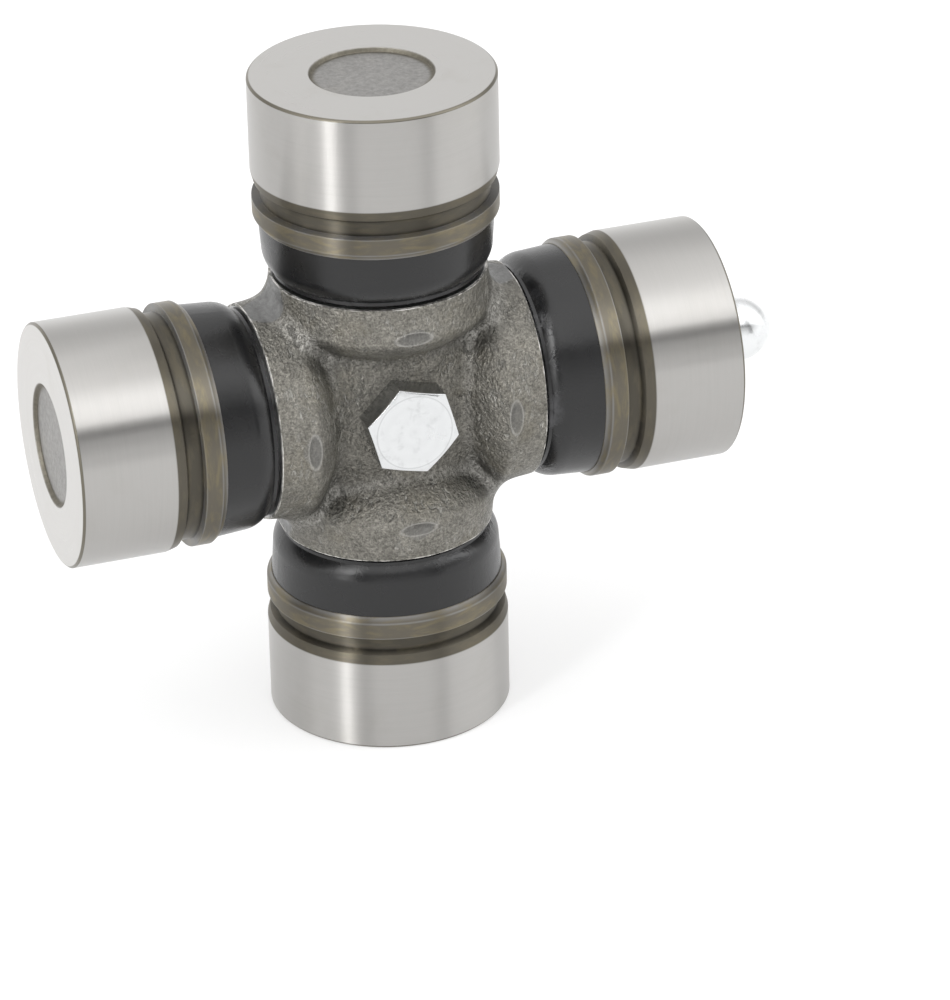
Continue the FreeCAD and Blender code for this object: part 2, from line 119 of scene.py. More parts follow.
def colour(name, default, description):
    """Colour property with its default as linear red, green and blue."""
    return FloatVectorProperty(name=name, description=description, default=default, min=0.0, max=1.0,
                               size=3, subtype="COLOR")


class CROSS_PG_forging(PropertyGroup):
    """Sizes of the forged spider."""
    cell: length("Mesh cell", 0.00033, "Size of a face on the forging")
    blend: length("Valley blend", 0.0019, "How widely a boss runs into the hub")
    edge_round: length("Edge round", 0.00035, "Rounding along the trimmed sides")
    waviness: length("Waviness", 0.00013, "Height of the forging's unevenness")
    crest_radius: length("Crest radius", 0.016, "Highest ring of a boss")
    shoulder_drop: length("Shoulder drop", 0.0005, "Radius that a boss loses towards its shoulder")
    boss_length: length("Boss length", 0.0051, "Tapering side of a boss")
    ogee_run: length("Ogee run", 0.0064, "Height over which a boss rises from the hub")
    hub_half_depth: length("Hub half depth", 0.0105, "Middle plane to the hub's face")
    foot_inset: length("Foot inset", 0.0006, "Foot of a boss, below the hub's face")
    hub_face_radius: length("Hub face radius", 0.0045, "Flat middle of the hub's face")
    hub_edge_radius: length("Hub edge radius", 0.0215, "Where the crown meets the plate")
    crown_radius: length("Crown radius", 0.024, "Curve of the hub's crown")
    shoulder_gap: length("Shoulder gap", 0.0005, "Space between the shoulder and the seal")
    band_half_width: length("Plate half width", 0.0029, "Plate on the parting line")
    band_inset: length("Band inset", 0.00065, "Trimmed sides, below the crests")
    corner_radius: length("Corner radius", 0.0026, "Inside corner between two arms")
    flat_depth: length("Flat depth", 0.0002, "Small flat on the crest of each boss")
    flat_radius: length("Flat reach", 0.0027, "Reach of that flat")
    flat_inset: length("Flat inset", 0.004, "Middle of that flat, from the shoulder")
    dent_inset: length("Dent inset", 0.0047, "Middle of the shallow dent on each crest, from the shoulder")
    dent_reach: length("Dent reach", 0.0009, "Half of that dent, along the arm")
    dent_width: length("Dent width", 0.0025, "Half of that dent, across the arm")
    journal_radius: length("Journal radius", 0.011, "Ground trunnion under the rollers")
    seat_radius: length("Seat radius", 0.0125, "Seat of the dust seal")
    seat_length: length("Seat length", 0.004, "Seat of the dust seal, along the arm")
    seat_taper: length("Seat taper", 0.0012, "Run from the seat down to the journal")
    passage_radius: length("Passage radius", 0.00275, "Drilled grease passage")
    reservoir_radius: length("Reservoir radius", 0.0045, "Wider mouth of the passage")
    reservoir_depth: length("Reservoir depth", 0.006, "Depth of that mouth")


class CROSS_PG_cup(PropertyGroup):
    """Sizes of a bearing cup."""
    rim_chamfer: length("Rim chamfer", 0.0003, "Chamfer round the end face")
    dimple_radius: length("Dimple radius", 0.00884, "Round recess in the end face")
    dimple_depth: length("Dimple depth", 0.0006, "Depth of the recess")
    dimple_slope: length("Dimple slope", 0.00035, "Run of the recess's wall")
    land_length: length("Land length", 0.01365, "Ground land")
    neck_length: length("Neck length", 0.0014, "Tapered strip beside the land")
    neck_drop: length("Neck drop", 0.00038, "Radius that the tapered strip loses")
    groove_slope: length("Groove slope", 0.0004, "Run of the groove's outer wall")
    groove_depth: length("Groove depth", 0.0013, "Ring groove, below the land")
    groove_width: length("Groove width", 0.0023, "Floor of the ring groove")
    lip_inset: length("Lip inset", 0.0001, "Lip, below the land")
    lip_width: length("Lip width", 0.00245, "Cylindrical part of the lip")
    bevel_drop: length("Bevel drop", 0.00065, "Radius that the bevel loses")
    spigot_wall: length("Spigot wall", 0.0015, "Wall of the cup at its mouth")
    segments: IntProperty(name="Segments", description="Faces round a turned piece", default=160, min=24)


class CROSS_PG_rollers(PropertyGroup):
    """Sizes of the needle rollers."""
    count: IntProperty(name="Count", description="Rollers in a cup", default=26, min=3)
    radius: length("Roller radius", 0.00149, "Radius of a needle roller")
    end_round: length("End round", 0.0004, "Rounding at the ends of a roller")


class CROSS_PG_finish(PropertyGroup):
    """Colours of the finishes."""
    ground: colour("Ground steel", (0.47, 0.46, 0.445), "Ground land and end faces")
    turned: colour("Turned steel", (0.175, 0.16, 0.13), "Lip of the cups")
    groove: colour("Groove", (0.125, 0.115, 0.095), "Floor of the ring groove")
    forged: colour("Forged skin", (0.238, 0.228, 0.202), "Shot-blasted skin of the spider")
    rubber: colour("Rubber", (0.008, 0.008, 0.0085), "Dust seals")
    zinc: colour("Zinc plate", (0.71, 0.72, 0.725), "Plug and grease nipple")


class CROSS_PG_stage(PropertyGroup):
    """Camera and floor."""
    azimuth: FloatProperty(name="Azimuth", description="Turn of the camera from the front, to the left",
                           default=math.radians(-17.601), subtype="ANGLE", unit="ROTATION")
    elevation: FloatProperty(name="Elevation", description="Height of the camera's view",
                             default=math.radians(26.110), subtype="ANGLE", unit="ROTATION")
    roll: FloatProperty(name="Roll", description="Lean of the camera", default=math.radians(-1.7124),
                        subtype="ANGLE", unit="ROTATION")
    distance: length("Distance", 0.7622, "From the crossing of the axes to the camera")
    lens: FloatProperty(name="Lens", description="Focal length", default=202.386, min=1.0,
                        subtype="DISTANCE_CAMERA", unit="CAMERA")
    aim_right: length("Aim right", 0.01335, "Middle of the view, to the right of the crossing")
    aim_down: length("Aim down", 0.01582, "Middle of the view, below the crossing")
    floor_size: length("Floor", 12.0, "Width of the floor")
    floor_colour: colour("Floor colour", (0.93, 0.93, 0.93), "Pale floor")


class CROSS_PG_settings(PropertyGroup):
    """All sizes and colours of the joint cross."""
    forging: PointerProperty(type=CROSS_PG_forging)
    cup: PointerProperty(type=CROSS_PG_cup)
    rollers: PointerProperty(type=CROSS_PG_rollers)
    finish: PointerProperty(type=CROSS_PG_finish)
    stage: PointerProperty(type=CROSS_PG_stage)


# Shader helpers

def add_node(tree, kind, **settings):
    """New node with its settings."""
    item = tree.nodes.new(kind)
    for name, content in settings.items():
        setattr(item, name, content)
    return item


def feed(tree, socket, source):
    """Links a socket, or sets its value where the source is plain."""
    if isinstance(source, bpy.types.NodeSocket):
        tree.links.new(source, socket)
    else:
        socket.default_value = source


def calc(tree, operation, first, second=0.0):
    """Output of a Math node."""
    item = add_node(tree, "ShaderNodeMath", operation=operation)
    for socket, source in zip(item.inputs, (first, second)):
        feed(tree, socket, source)
    return item.outputs[0]


def plus(tree, first, second):
    """Sum of two sources."""
    return calc(tree, "ADD", first, second)


def minus(tree, first, second):
    """First source less the second."""
    return calc(tree, "SUBTRACT", first, second)


def times(tree, first, second):
    """Product of two sources."""
    return calc(tree, "MULTIPLY", first, second)


def squared(tree, first, second):
    """Sum of the squares of two sources."""
    return plus(tree, times(tree, first, first), times(tree, second, second))


def rescale(tree, source, low, high, to_low=0.0, to_high=1.0, smooth=False):
    """Output of a clamped Map Range node."""
    item = add_node(tree, "ShaderNodeMapRange", clamp=True)
    item.interpolation_type = "SMOOTHSTEP" if smooth else "LINEAR"
    for socket, content in zip(item.inputs, (source, low, high, to_low, to_high)):
        feed(tree, socket, content)
    return item.outputs[0]


def blend_colours(tree, factor, first, second, mode="MIX"):
    """Colour output of a Mix node."""
    item = add_node(tree, "ShaderNodeMix", data_type="RGBA", blend_type=mode, clamp_factor=True)
    sockets = [socket for socket in item.inputs if socket.enabled]
    for socket, source in zip(sockets, (factor, first, second)):
        feed(tree, socket, rgba(source))
    return next(socket for socket in item.outputs if socket.enabled)


def rgba(source):
    """Four numbers from three, and anything else as it is."""
    if isinstance(source, (tuple, list)) and len(source) == 3:
        return (*source, 1.0)
    return source


def grey(level):
    """Grey as red, green and blue."""
    return (level, level, level)


def ramp(tree, factor, stops):
    """Colour Ramp; each stop is (place, colour or level)."""
    item = add_node(tree, "ShaderNodeValToRGB")
    elements = item.color_ramp.elements
    while len(elements) < len(stops):
        elements.new(0.5)
    for element, (place, content) in zip(elements, stops):
        element.position = place
        element.color = rgba(content if isinstance(content, (tuple, list)) else grey(content))
    feed(tree, item.inputs[0], factor)
    return item.outputs[0]


def noise(tree, vector, scale, detail=3.0, rough=0.5, distortion=0.0):
    """Noise between 0 and 1."""
    item = add_node(tree, "ShaderNodeTexNoise")
    feed(tree, item.inputs["Vector"], vector)
    for name, content in (("Scale", scale), ("Detail", detail), ("Roughness", rough),
                          ("Distortion", distortion)):
        feed(tree, item.inputs[name], content)
    return item.outputs[0]


def cells(tree, vector, scale):
    """Distance in a Voronoi pattern."""
    item = add_node(tree, "ShaderNodeTexVoronoi")
    feed(tree, item.inputs["Vector"], vector)
    feed(tree, item.inputs["Scale"], scale)
    return item.outputs["Distance"]


def compose(tree, across, along, up):
    """Vector from three sources."""
    item = add_node(tree, "ShaderNodeCombineXYZ")
    for socket, source in zip(item.inputs, (across, along, up)):
        feed(tree, socket, source)
    return item.outputs[0]


def separate(tree, vector):
    """Three numbers of a vector."""
    item = add_node(tree, "ShaderNodeSeparateXYZ")
    feed(tree, item.inputs[0], vector)
    return item.outputs


def stretched(tree, vector, shares):
    """Vector with each of its numbers times a share."""
    item = add_node(tree, "ShaderNodeVectorMath", operation="MULTIPLY")
    feed(tree, item.inputs[0], vector)
    item.inputs[1].default_value = shares
    return item.outputs[0]


def shaded(tree, tone, level):
    """Colour times a grey level."""
    return blend_colours(tree, 1.0, tone, compose(tree, level, level, level), "MULTIPLY")


def scaled(share, tone):
    """Plain colour times a share."""
    return tuple(share * part for part in tone)


def object_place(tree):
    """Object coordinates."""
    return add_node(tree, "ShaderNodeTexCoord").outputs["Object"]


def arm_and_lines(tree, place, pitch):
    """Place on an arm, and the lines of grinding there."""
    arm = use_group(tree, "Place on an arm", Place=place)
    lines = use_group(tree, "Grinding lines", Round=arm["Round"], Along=arm["Along"], Radius=arm["Radius"],
                      Pitch=pitch)
    return arm, lines


def new_group(name, inputs, outputs):
    """Empty shader node group with named sockets, and its input and output nodes."""
    tree = bpy.data.node_groups.new(name, "ShaderNodeTree")
    for label, kind, default in inputs:
        socket = tree.interface.new_socket(name=label, in_out="INPUT", socket_type=kind)
        if default is not None:
            socket.default_value = default
    for label, kind in outputs:
        tree.interface.new_socket(name=label, in_out="OUTPUT", socket_type=kind)
    return tree, tree.nodes.new("NodeGroupInput").outputs, tree.nodes.new("NodeGroupOutput").inputs


def use_group(tree, name, **inputs):
    """Places a group in a tree with its own values, and gives back its outputs."""
    item = add_node(tree, "ShaderNodeGroup", node_tree=bpy.data.node_groups[name])
    for label, source in inputs.items():
        feed(tree, item.inputs[label.replace("_", " ")], source)
    return item.outputs


def new_material(name, metallic=0.0, rough=0.5, **constants):
    """Material with a Principled shader whose constants are set on its own sockets."""
    material = bpy.data.materials.new(name)
    material.use_nodes = True
    tree = material.node_tree
    shader = tree.nodes["Principled BSDF"]
    shader.inputs["Metallic"].default_value = metallic
    shader.inputs["Roughness"].default_value = rough
    for label, content in constants.items():
        shader.inputs[label.replace("_", " ")].default_value = content
    return material, tree, shader


def bump(tree, shader, height, distance):
    """Feeds a height into the shader's normal; the distance is in metres."""
    item = add_node(tree, "ShaderNodeBump")
    item.inputs["Distance"].default_value = distance
    feed(tree, item.inputs["Height"], height)
    feed(tree, shader.inputs["Normal"], item.outputs[0])


# Shared effects

def make_arm_group():
    """Place on an arm: distance along it, radius from its axis, and the place as seen along it."""
    tree, given, result = new_group("Place on an arm", [("Place", "NodeSocketVector", None)], [
        ("Along", "NodeSocketFloat"), ("Radius", "NodeSocketFloat"), ("Round", "NodeSocketVector")])
    across, depth, up = separate(tree, given["Place"])
    far_across = calc(tree, "ABSOLUTE", across)
    far_up = calc(tree, "ABSOLUTE", up)
    along = calc(tree, "MAXIMUM", far_across, far_up)
    upright = calc(tree, "GREATER_THAN", far_up, far_across)
    side_upright = times(tree, upright, across)
    side_level = times(tree, minus(tree, 1.0, upright), up)
    side = plus(tree, side_upright, side_level)
    feed(tree, result["Along"], along)
    feed(tree, result["Radius"], calc(tree, "SQRT", squared(tree, side, depth)))
    feed(tree, result["Round"], compose(tree, side, depth, along))


def make_grinding_group():
    """Fine rings round an arm, as grinding or turning leaves them, and their streaky tone."""
    tree, given, result = new_group("Grinding lines", [
        ("Round", "NodeSocketVector", None), ("Along", "NodeSocketFloat", 0.0),
        ("Radius", "NodeSocketFloat", 0.0), ("Pitch", "NodeSocketFloat", 9000.0)],
        [("Height", "NodeSocketFloat"), ("Tone", "NodeSocketFloat")])
    reach = plus(tree, given["Along"], given["Radius"])
    spread = times(tree, reach, given["Pitch"])
    side, depth, _ = separate(tree, given["Round"])
    slow_side = times(tree, side, 60.0)
    slow_depth = times(tree, depth, 60.0)
    lines = noise(tree, compose(tree, slow_side, slow_depth, spread), 1.0, 4.0, 0.7)
    coarse_spread = times(tree, spread, 0.16)
    broad = noise(tree, compose(tree, slow_side, slow_depth, coarse_spread), 1.0, 3.0, 0.6)
    feed(tree, result["Height"], lines)
    feed(tree, result["Tone"], plus(tree, times(tree, lines, 0.6), times(tree, broad, 0.4)))


def make_blast_group():
    """Shot-blasted skin: bright and dark specks, pits and their height."""
    tree, given, result = new_group("Shot-blasted skin", [
        ("Place", "NodeSocketVector", None), ("Scale", "NodeSocketFloat", 1.0)],
        [("Specks", "NodeSocketFloat"), ("Height", "NodeSocketFloat"), ("Clouds", "NodeSocketFloat"),
         ("Scars", "NodeSocketFloat"), ("Drawn", "NodeSocketFloat")])
    fine = times(tree, given["Scale"], 3600.0)
    medium = times(tree, given["Scale"], 1700.0)
    large = times(tree, given["Scale"], 330.0)
    grain = noise(tree, given["Place"], fine, 2.0, 0.65)
    pits = cells(tree, given["Place"], medium)
    clumps = noise(tree, given["Place"], medium, 3.0, 0.6)
    sharp_grain = rescale(tree, grain, 0.32, 0.68)
    sharp_clumps = rescale(tree, clumps, 0.3, 0.7)
    specks = plus(tree, times(tree, sharp_grain, 0.55), times(tree, sharp_clumps, 0.45))
    feed(tree, result["Specks"], specks)
    hollow = rescale(tree, pits, 0.05, 0.75)
    feed(tree, result["Height"], plus(tree, times(tree, specks, 0.6), times(tree, hollow, 0.4)))
    feed(tree, result["Clouds"], noise(tree, given["Place"], large, 3.0, 0.55))
    drawn = noise(tree, stretched(tree, given["Place"], (1.0, 0.45, 0.45)), medium, 3.0, 0.6, 0.6)
    where = rescale(tree, noise(tree, given["Place"], large, 2.0, 0.5, 0.3), 0.46, 0.6, smooth=True)
    scars = times(tree, rescale(tree, drawn, 0.5, 0.66), where)
    feed(tree, result["Scars"], scars)
    feed(tree, result["Drawn"], drawn)


def make_smear_group():
    """Patchy mask, such as heat tint, oil or grease leave."""
    tree, given, result = new_group("Patchy film", [
        ("Place", "NodeSocketVector", None), ("Scale", "NodeSocketFloat", 200.0),
        ("Cover", "NodeSocketFloat", 0.5)], [("Mask", "NodeSocketFloat")])
    cloud = noise(tree, given["Place"], given["Scale"], 5.0, 0.62, 0.4)
    low = minus(tree, 0.9, given["Cover"])
    high = plus(tree, low, 0.22)
    feed(tree, result["Mask"], rescale(tree, cloud, low, high, smooth=True))


# Mesh helpers

def finish_mesh(name, mesh, body, material, replaced=(), arm=None, sharp=28.0, end=None):
    """Object from a mesh at the origin: aimed, shaded, given its material and joined to its body.

    A second material, where one is given, goes on the faces at the outer end of the arm.
    """
    mesh.materials.clear()
    mesh.materials.append(material)
    at_end = np.zeros(len(mesh.polygons), dtype=np.int32)
    if end is not None:
        mesh.materials.append(end)
        for face in mesh.polygons:
            at_end[face.index] = face.center.z > BORE_END + 1.0 * MM and face.normal.z > 0.35
    mesh.polygons.foreach_set("material_index", at_end)
    if arm is not None:
        mesh.transform(Matrix.Rotation(math.radians(ARMS[arm]), 4, "Y"))
    mesh.set_sharp_from_angle(angle=math.radians(sharp))
    piece = bpy.data.objects.new(name, mesh)
    bpy.context.scene.collection.objects.link(piece)
    weigh = piece.modifiers.new("Flat faces stay flat", "WEIGHTED_NORMAL")
    weigh.keep_sharp = True
    bake_modifiers(piece)
    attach(piece, body)
    if replaced:
        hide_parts(*replaced)
    return piece


def bake_modifiers(piece):
    """Turns an object's modifiers into plain mesh."""
    graph = bpy.context.evaluated_depsgraph_get()
    graph.update()
    plain = bpy.data.meshes.new_from_object(piece.evaluated_get(graph))
    piece.modifiers.clear()
    piece.data = plain
    plain.name = piece.name


def eased(corners, steps=3):
    """Section with its corners rounded; a corner is (radius, height) or (radius, height, ease)."""
    section = []
    count = len(corners)
    for index, corner in enumerate(corners):
        place = Vector(corner[:2])
        if len(corner) == 2 or corner[2] == 0:
            section.append(place)
            continue
        before = Vector(corners[index - 1][:2]) - place
        after = Vector(corners[(index + 1) % count][:2]) - place
        ease = min(corner[2], before.length * 0.45, after.length * 0.45)
        start = place + before.normalized() * ease
        finish = place + after.normalized() * ease
        for step in range(steps + 1):
            share = step / steps
            section.append(start.lerp(place, share).lerp(place.lerp(finish, share), share))
    return section


def lathe(section, segments):
    """Closed mesh from a section of (radius, height) turned about the Z axis."""
    shape = bmesh.new()
    rings = []
    for radius, height in section:
        if radius < 1e-7:
            rings.append([shape.verts.new((0, 0, height))])
            continue
        turns = [2 * math.pi * step / segments for step in range(segments)]
        rings.append([shape.verts.new((radius * math.cos(turn), radius * math.sin(turn), height))
                      for turn in turns])
    for ring, following in zip(rings, rings[1:] + rings[:1]):
        if len(ring) == 1 and len(following) == 1:
            continue
        for step in range(segments):
            after = (step + 1) % segments
            corners = [ring[step % len(ring)], ring[after % len(ring)],
                       following[after % len(following)], following[step % len(following)]]
            unique = list(dict.fromkeys(corners))
            shape.faces.new(unique)
    bmesh.ops.recalc_face_normals(shape, faces=shape.faces)
    for face in shape.faces:
        face.smooth = True
    mesh = bpy.data.meshes.new("turned")
    shape.to_mesh(mesh)
    shape.free()
    return mesh


def eased_copy(node, width, angle=24.0):
    """Mesh of a CAD node, joined up, with flat faces made whole and its edges eased."""
    shape = bmesh.new()
    shape.from_mesh(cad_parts[node].data)
    bmesh.ops.remove_doubles(shape, verts=shape.verts, dist=2e-6)
    bmesh.ops.dissolve_limit(shape, angle_limit=math.radians(1.0), verts=shape.verts, edges=shape.edges)
    mesh = bpy.data.meshes.new(node)
    shape.to_mesh(mesh)
    shape.free()
    piece = bpy.data.objects.new(node, mesh)
    bpy.context.scene.collection.objects.link(piece)
    edges = piece.modifiers.new("Eased edges", "BEVEL")
    edges.width = width
    edges.segments = 3
    edges.limit_method = "ANGLE"
    edges.angle_limit = math.radians(angle)
    bake_modifiers(piece)
    mesh = piece.data
    bpy.data.objects.remove(piece)
    mesh.polygons.foreach_set("use_smooth", np.ones(len(mesh.polygons), dtype=bool))
    return mesh


# The forging's form, as a distance that is negative inside the steel

def soft_union(first, second, width):
    """Joins two forms with a rounded valley between them."""
    share = np.clip(0.5 + 0.5 * (second - first) / width, 0.0, 1.0)
    return second + (first - second) * share - width * share * (1.0 - share)


def soft_cut(body, cutter, width):
    """Keeps what lies inside both forms, with a rounded edge between them."""
    return -soft_union(-body, -cutter, width)


def boss_distance(places, axis, sizes, shoulder):
    """One pair of opposite bosses: an ogee up to the crest, then a slight taper to the shoulder."""
    along = np.abs(places[:, axis])
    across = np.sqrt(np.maximum((places ** 2).sum(axis=1) - along ** 2, 0.0))
    crest = shoulder - sizes.boss_length
    foot = crest - sizes.ogee_run
    foot_radius = sizes.hub_half_depth - sizes.foot_inset
    rise = sizes.crest_radius - foot_radius
    share = np.clip((along - foot) / (crest - foot), 0.0, 1.0)
    slope = rise / (crest - foot) * 6.0 * share * (1.0 - share)
    lost = sizes.shoulder_drop * np.maximum(along - crest, 0.0) / sizes.boss_length
    radius = foot_radius + rise * share * share * (3.0 - 2.0 * share) - lost
    return (across - radius) / np.sqrt(1.0 + slope ** 2)


def hub_distance(places, sizes):
    """Crowned hub between the bosses."""
    across = np.hypot(places[:, 0], places[:, 2])
    depth = np.abs(places[:, 1])
    inner = np.array((sizes.hub_face_radius, sizes.hub_half_depth))
    outer = np.array((sizes.hub_edge_radius, sizes.band_half_width))
    chord = outer - inner
    reach = np.linalg.norm(chord)
    below = np.array((chord[1], -chord[0])) / reach
    centre = (inner + outer) / 2 + below * math.sqrt(sizes.crown_radius ** 2 - reach ** 2 / 4)
    crown = np.hypot(across - centre[0], depth - centre[1]) - sizes.crown_radius
    face = depth - sizes.hub_half_depth
    return np.where(across < sizes.hub_face_radius, face, np.maximum(crown, face))


def trimmed_distance(places, sizes):
    """Outline that trimming leaves, seen from the front: flat sides and rounded inside corners."""
    first = np.abs(places[:, 0])
    second = np.abs(places[:, 2])
    side = sizes.crest_radius - sizes.band_inset
    reach = side + sizes.corner_radius
    straight = np.minimum(first, second) - side
    corner = sizes.corner_radius - np.hypot(first - reach, second - reach)
    return np.where(np.maximum(first, second) < reach, corner, straight)


def unevenness(places, seed=7):
    """Slow waves over the skin, from -1 to 1."""
    random = np.random.default_rng(seed)
    total = np.zeros(len(places))
    for wavelength, weight in ((0.011, 0.45), (0.006, 0.3), (0.0032, 0.25)):
        for _ in range(5):
            direction = random.normal(size=3)
            direction /= np.linalg.norm(direction)
            phase = random.uniform(0, 2 * math.pi)
            total += weight / 5 * np.sin(places @ direction * 2 * math.pi / wavelength + phase)
    return total


def forging_distance(places, sizes):
    """Distance to the skin of the whole forging."""
    shoulder = SEAL_START - sizes.shoulder_gap
    upright = boss_distance(places, 2, sizes, shoulder)
    level = boss_distance(places, 0, sizes, shoulder)
    bosses = soft_union(upright, level, sizes.blend * BOSS_BLEND)
    body = soft_union(bosses, hub_distance(places, sizes), sizes.blend)
    far = np.maximum(np.abs(places[:, 0]), np.abs(places[:, 2]))
    near = np.minimum(np.abs(places[:, 0]), np.abs(places[:, 2]))
    reach = sizes.crest_radius - sizes.band_inset + sizes.corner_radius
    plate = np.maximum(np.abs(places[:, 1]) - sizes.band_half_width, far - reach)
    body = soft_union(body, plate, sizes.blend * PLATE_BLEND)
    body = body + sizes.waviness * unevenness(places)
    body = soft_cut(body, trimmed_distance(places, sizes), sizes.edge_round)
    from_flat = np.hypot(far - (shoulder - sizes.flat_inset), near)
    flat = np.abs(places[:, 1]) - (sizes.crest_radius - sizes.flat_depth)
    return np.where(from_flat < sizes.flat_radius, np.maximum(body, flat), body)


def wrap_skin(distance, low, high, cell):
    """Mesh over the zero of a distance: one point for each cell that the skin crosses."""
    counts = [int(math.ceil((top - bottom) / cell)) + 1 for bottom, top in zip(low, high)]
    axes = [bottom + cell * np.arange(count) for bottom, count in zip(low, counts)]
    grid = np.stack(np.meshgrid(*axes, indexing="ij"), axis=-1)
    values = distance(grid.reshape(-1, 3)).reshape(counts)
    inside = values < 0
    shape = [count - 1 for count in counts]
    corners_inside = np.zeros(shape, dtype=np.int8)
    for step in np.ndindex(2, 2, 2):
        corners_inside += inside[tuple(slice(start, start + count) for start, count in zip(step, shape))]
    crossed = (corners_inside > 0) & (corners_inside < 8)
    numbers = np.full(shape, -1, dtype=np.int64)
    numbers[crossed] = np.arange(crossed.sum())
    points = np.array(low) + cell * (np.argwhere(crossed) + 0.5)
    quads = []
    for axis in range(3):
        first, second = (axis + 1) % 3, (axis + 2) % 3
        ahead = np.roll(inside, -1, axis=axis)
        change = inside != ahead
        keep = [slice(1, -1)] * 3
        keep[axis] = slice(0, -1)
        mask = np.zeros_like(change)
        mask[tuple(keep)] = change[tuple(keep)]
        at = np.argwhere(mask)
        outward = inside[tuple(at.T)]
        corners = []
        for shift_first, shift_second in ((1, 1), (0, 1), (0, 0), (1, 0)):
            cell_at = at.copy()
            cell_at[:, first] -= shift_first
            cell_at[:, second] -= shift_second
            corners.append(numbers[tuple(cell_at.T)])
        faces = np.stack(corners, axis=1)
        faces[~outward] = faces[~outward][:, ::-1]
        quads.append(faces)
    return points, np.concatenate(quads)


def settle(points, distance, rounds=6, step=2e-5, least_slope=0.05, longest_move=0.0003):
    """Moves points onto the zero of a distance along its slope."""
    for _ in range(rounds):
        level = distance(points)
        slope = np.empty_like(points)
        for axis in range(3):
            shift = np.zeros(3)
            shift[axis] = step
            slope[:, axis] = (distance(points + shift) - distance(points - shift)) / (2 * step)
        size = np.maximum((slope ** 2).sum(axis=1), least_slope)
        points = points - slope * np.clip(level / size, -longest_move, longest_move)[:, None]
    return points


# Materials

def make_ground_material(name, axis):
    """Cup's side: ground land, dark strip and groove, tinted lip, painted highlights along its edges and
    painted shadow in the groove's corners.
    """
    finish, cup = bpy.context.scene.joint_cross.finish, bpy.context.scene.joint_cross.cup
    material, tree, shader = new_material(name, metallic=1.0, rough=0.36, Anisotropic=1.0,
                                          Anisotropic_Rotation=0.25)
    tangent = add_node(tree, "ShaderNodeTangent", direction_type="RADIAL", axis=axis)
    feed(tree, shader.inputs["Tangent"], tangent.outputs[0])
    place = object_place(tree)
    arm, lines = arm_and_lines(tree, place, 9000.0)
    land_end = END - cup.land_length
    neck_end = land_end - cup.neck_length
    groove_start = neck_end - cup.groove_slope
    groove_end = groove_start - cup.groove_width
    lip_end = groove_end - cup.lip_width

    def at(height):
        return (height - MOUTH) / (END - MOUTH)

    ground = tuple(finish.ground)
    turned = tuple(finish.turned)
    dark = tuple(finish.groove)
    strip = scaled(0.8, turned)
    bright = scaled(0.6, ground)
    shadow = scaled(0.35, dark)
    hair = 0.1 * MM
    # Painted highlight lines along the bevel and lip edges, and painted shadow in the groove's corners
    stops = [
        (0.0, turned), (at(BEVEL_END), turned), (at(BEVEL_END + hair), bright),
        (at(lip_end - 2 * hair), turned), (at(lip_end), bright), (at(lip_end + 2 * hair), turned),
        (at(groove_end - 2 * hair), turned), (at(groove_end - hair), bright),
        (at(groove_end + hair), shadow), (at(groove_end + 5 * hair), dark),
        (at(groove_start - 3 * hair), dark), (at(groove_start), shadow), (at(neck_end), strip),
        (at(land_end - hair), strip), (at(land_end + hair), ground), (1.0, ground),
    ]
    share = rescale(tree, arm["Along"], MOUTH, END)
    tone = ramp(tree, share, stops)
    below_land = rescale(tree, arm["Along"], land_end, land_end - hair)
    drawn_out = stretched(tree, arm["Round"], (0.5, 0.5, 2.0))
    film = use_group(tree, "Patchy film", Place=drawn_out, Scale=380.0, Cover=0.46)
    on_lip = rescale(tree, arm["Along"], groove_end + hair, groove_end - hair, 0.22, 0.75)
    tinted = times(tree, film["Mask"], times(tree, below_land, on_lip))
    tone = blend_colours(tree, tinted, tone, LIP_TINT)
    on_land = minus(tree, 1.0, below_land)
    haze = use_group(tree, "Patchy film", Place=place, Scale=70.0, Cover=0.4)
    clouded = times(tree, haze["Mask"], times(tree, on_land, 0.16))
    tone = blend_colours(tree, clouded, tone, LAND_HAZE)
    edge = rescale(tree, arm["Along"], END - cup.rim_chamfer - hair, END - cup.rim_chamfer)
    tone = blend_colours(tree, edge, tone, RIM_TONE)
    streaks = rescale(tree, lines["Tone"], 0.25, 0.75, 0.94, 1.05)
    tone = shaded(tree, tone, streaks)
    feed(tree, shader.inputs["Base Color"], tone)
    rough_zone = rescale(tree, arm["Along"], land_end - hair, land_end, 0.44, 0.36)
    rough_streak = rescale(tree, lines["Tone"], 0.3, 0.7, -0.03, 0.03)
    feed(tree, shader.inputs["Roughness"], plus(tree, rough_zone, rough_streak))
    bump(tree, shader, lines["Height"], 0.7 * MICRON)
    return material


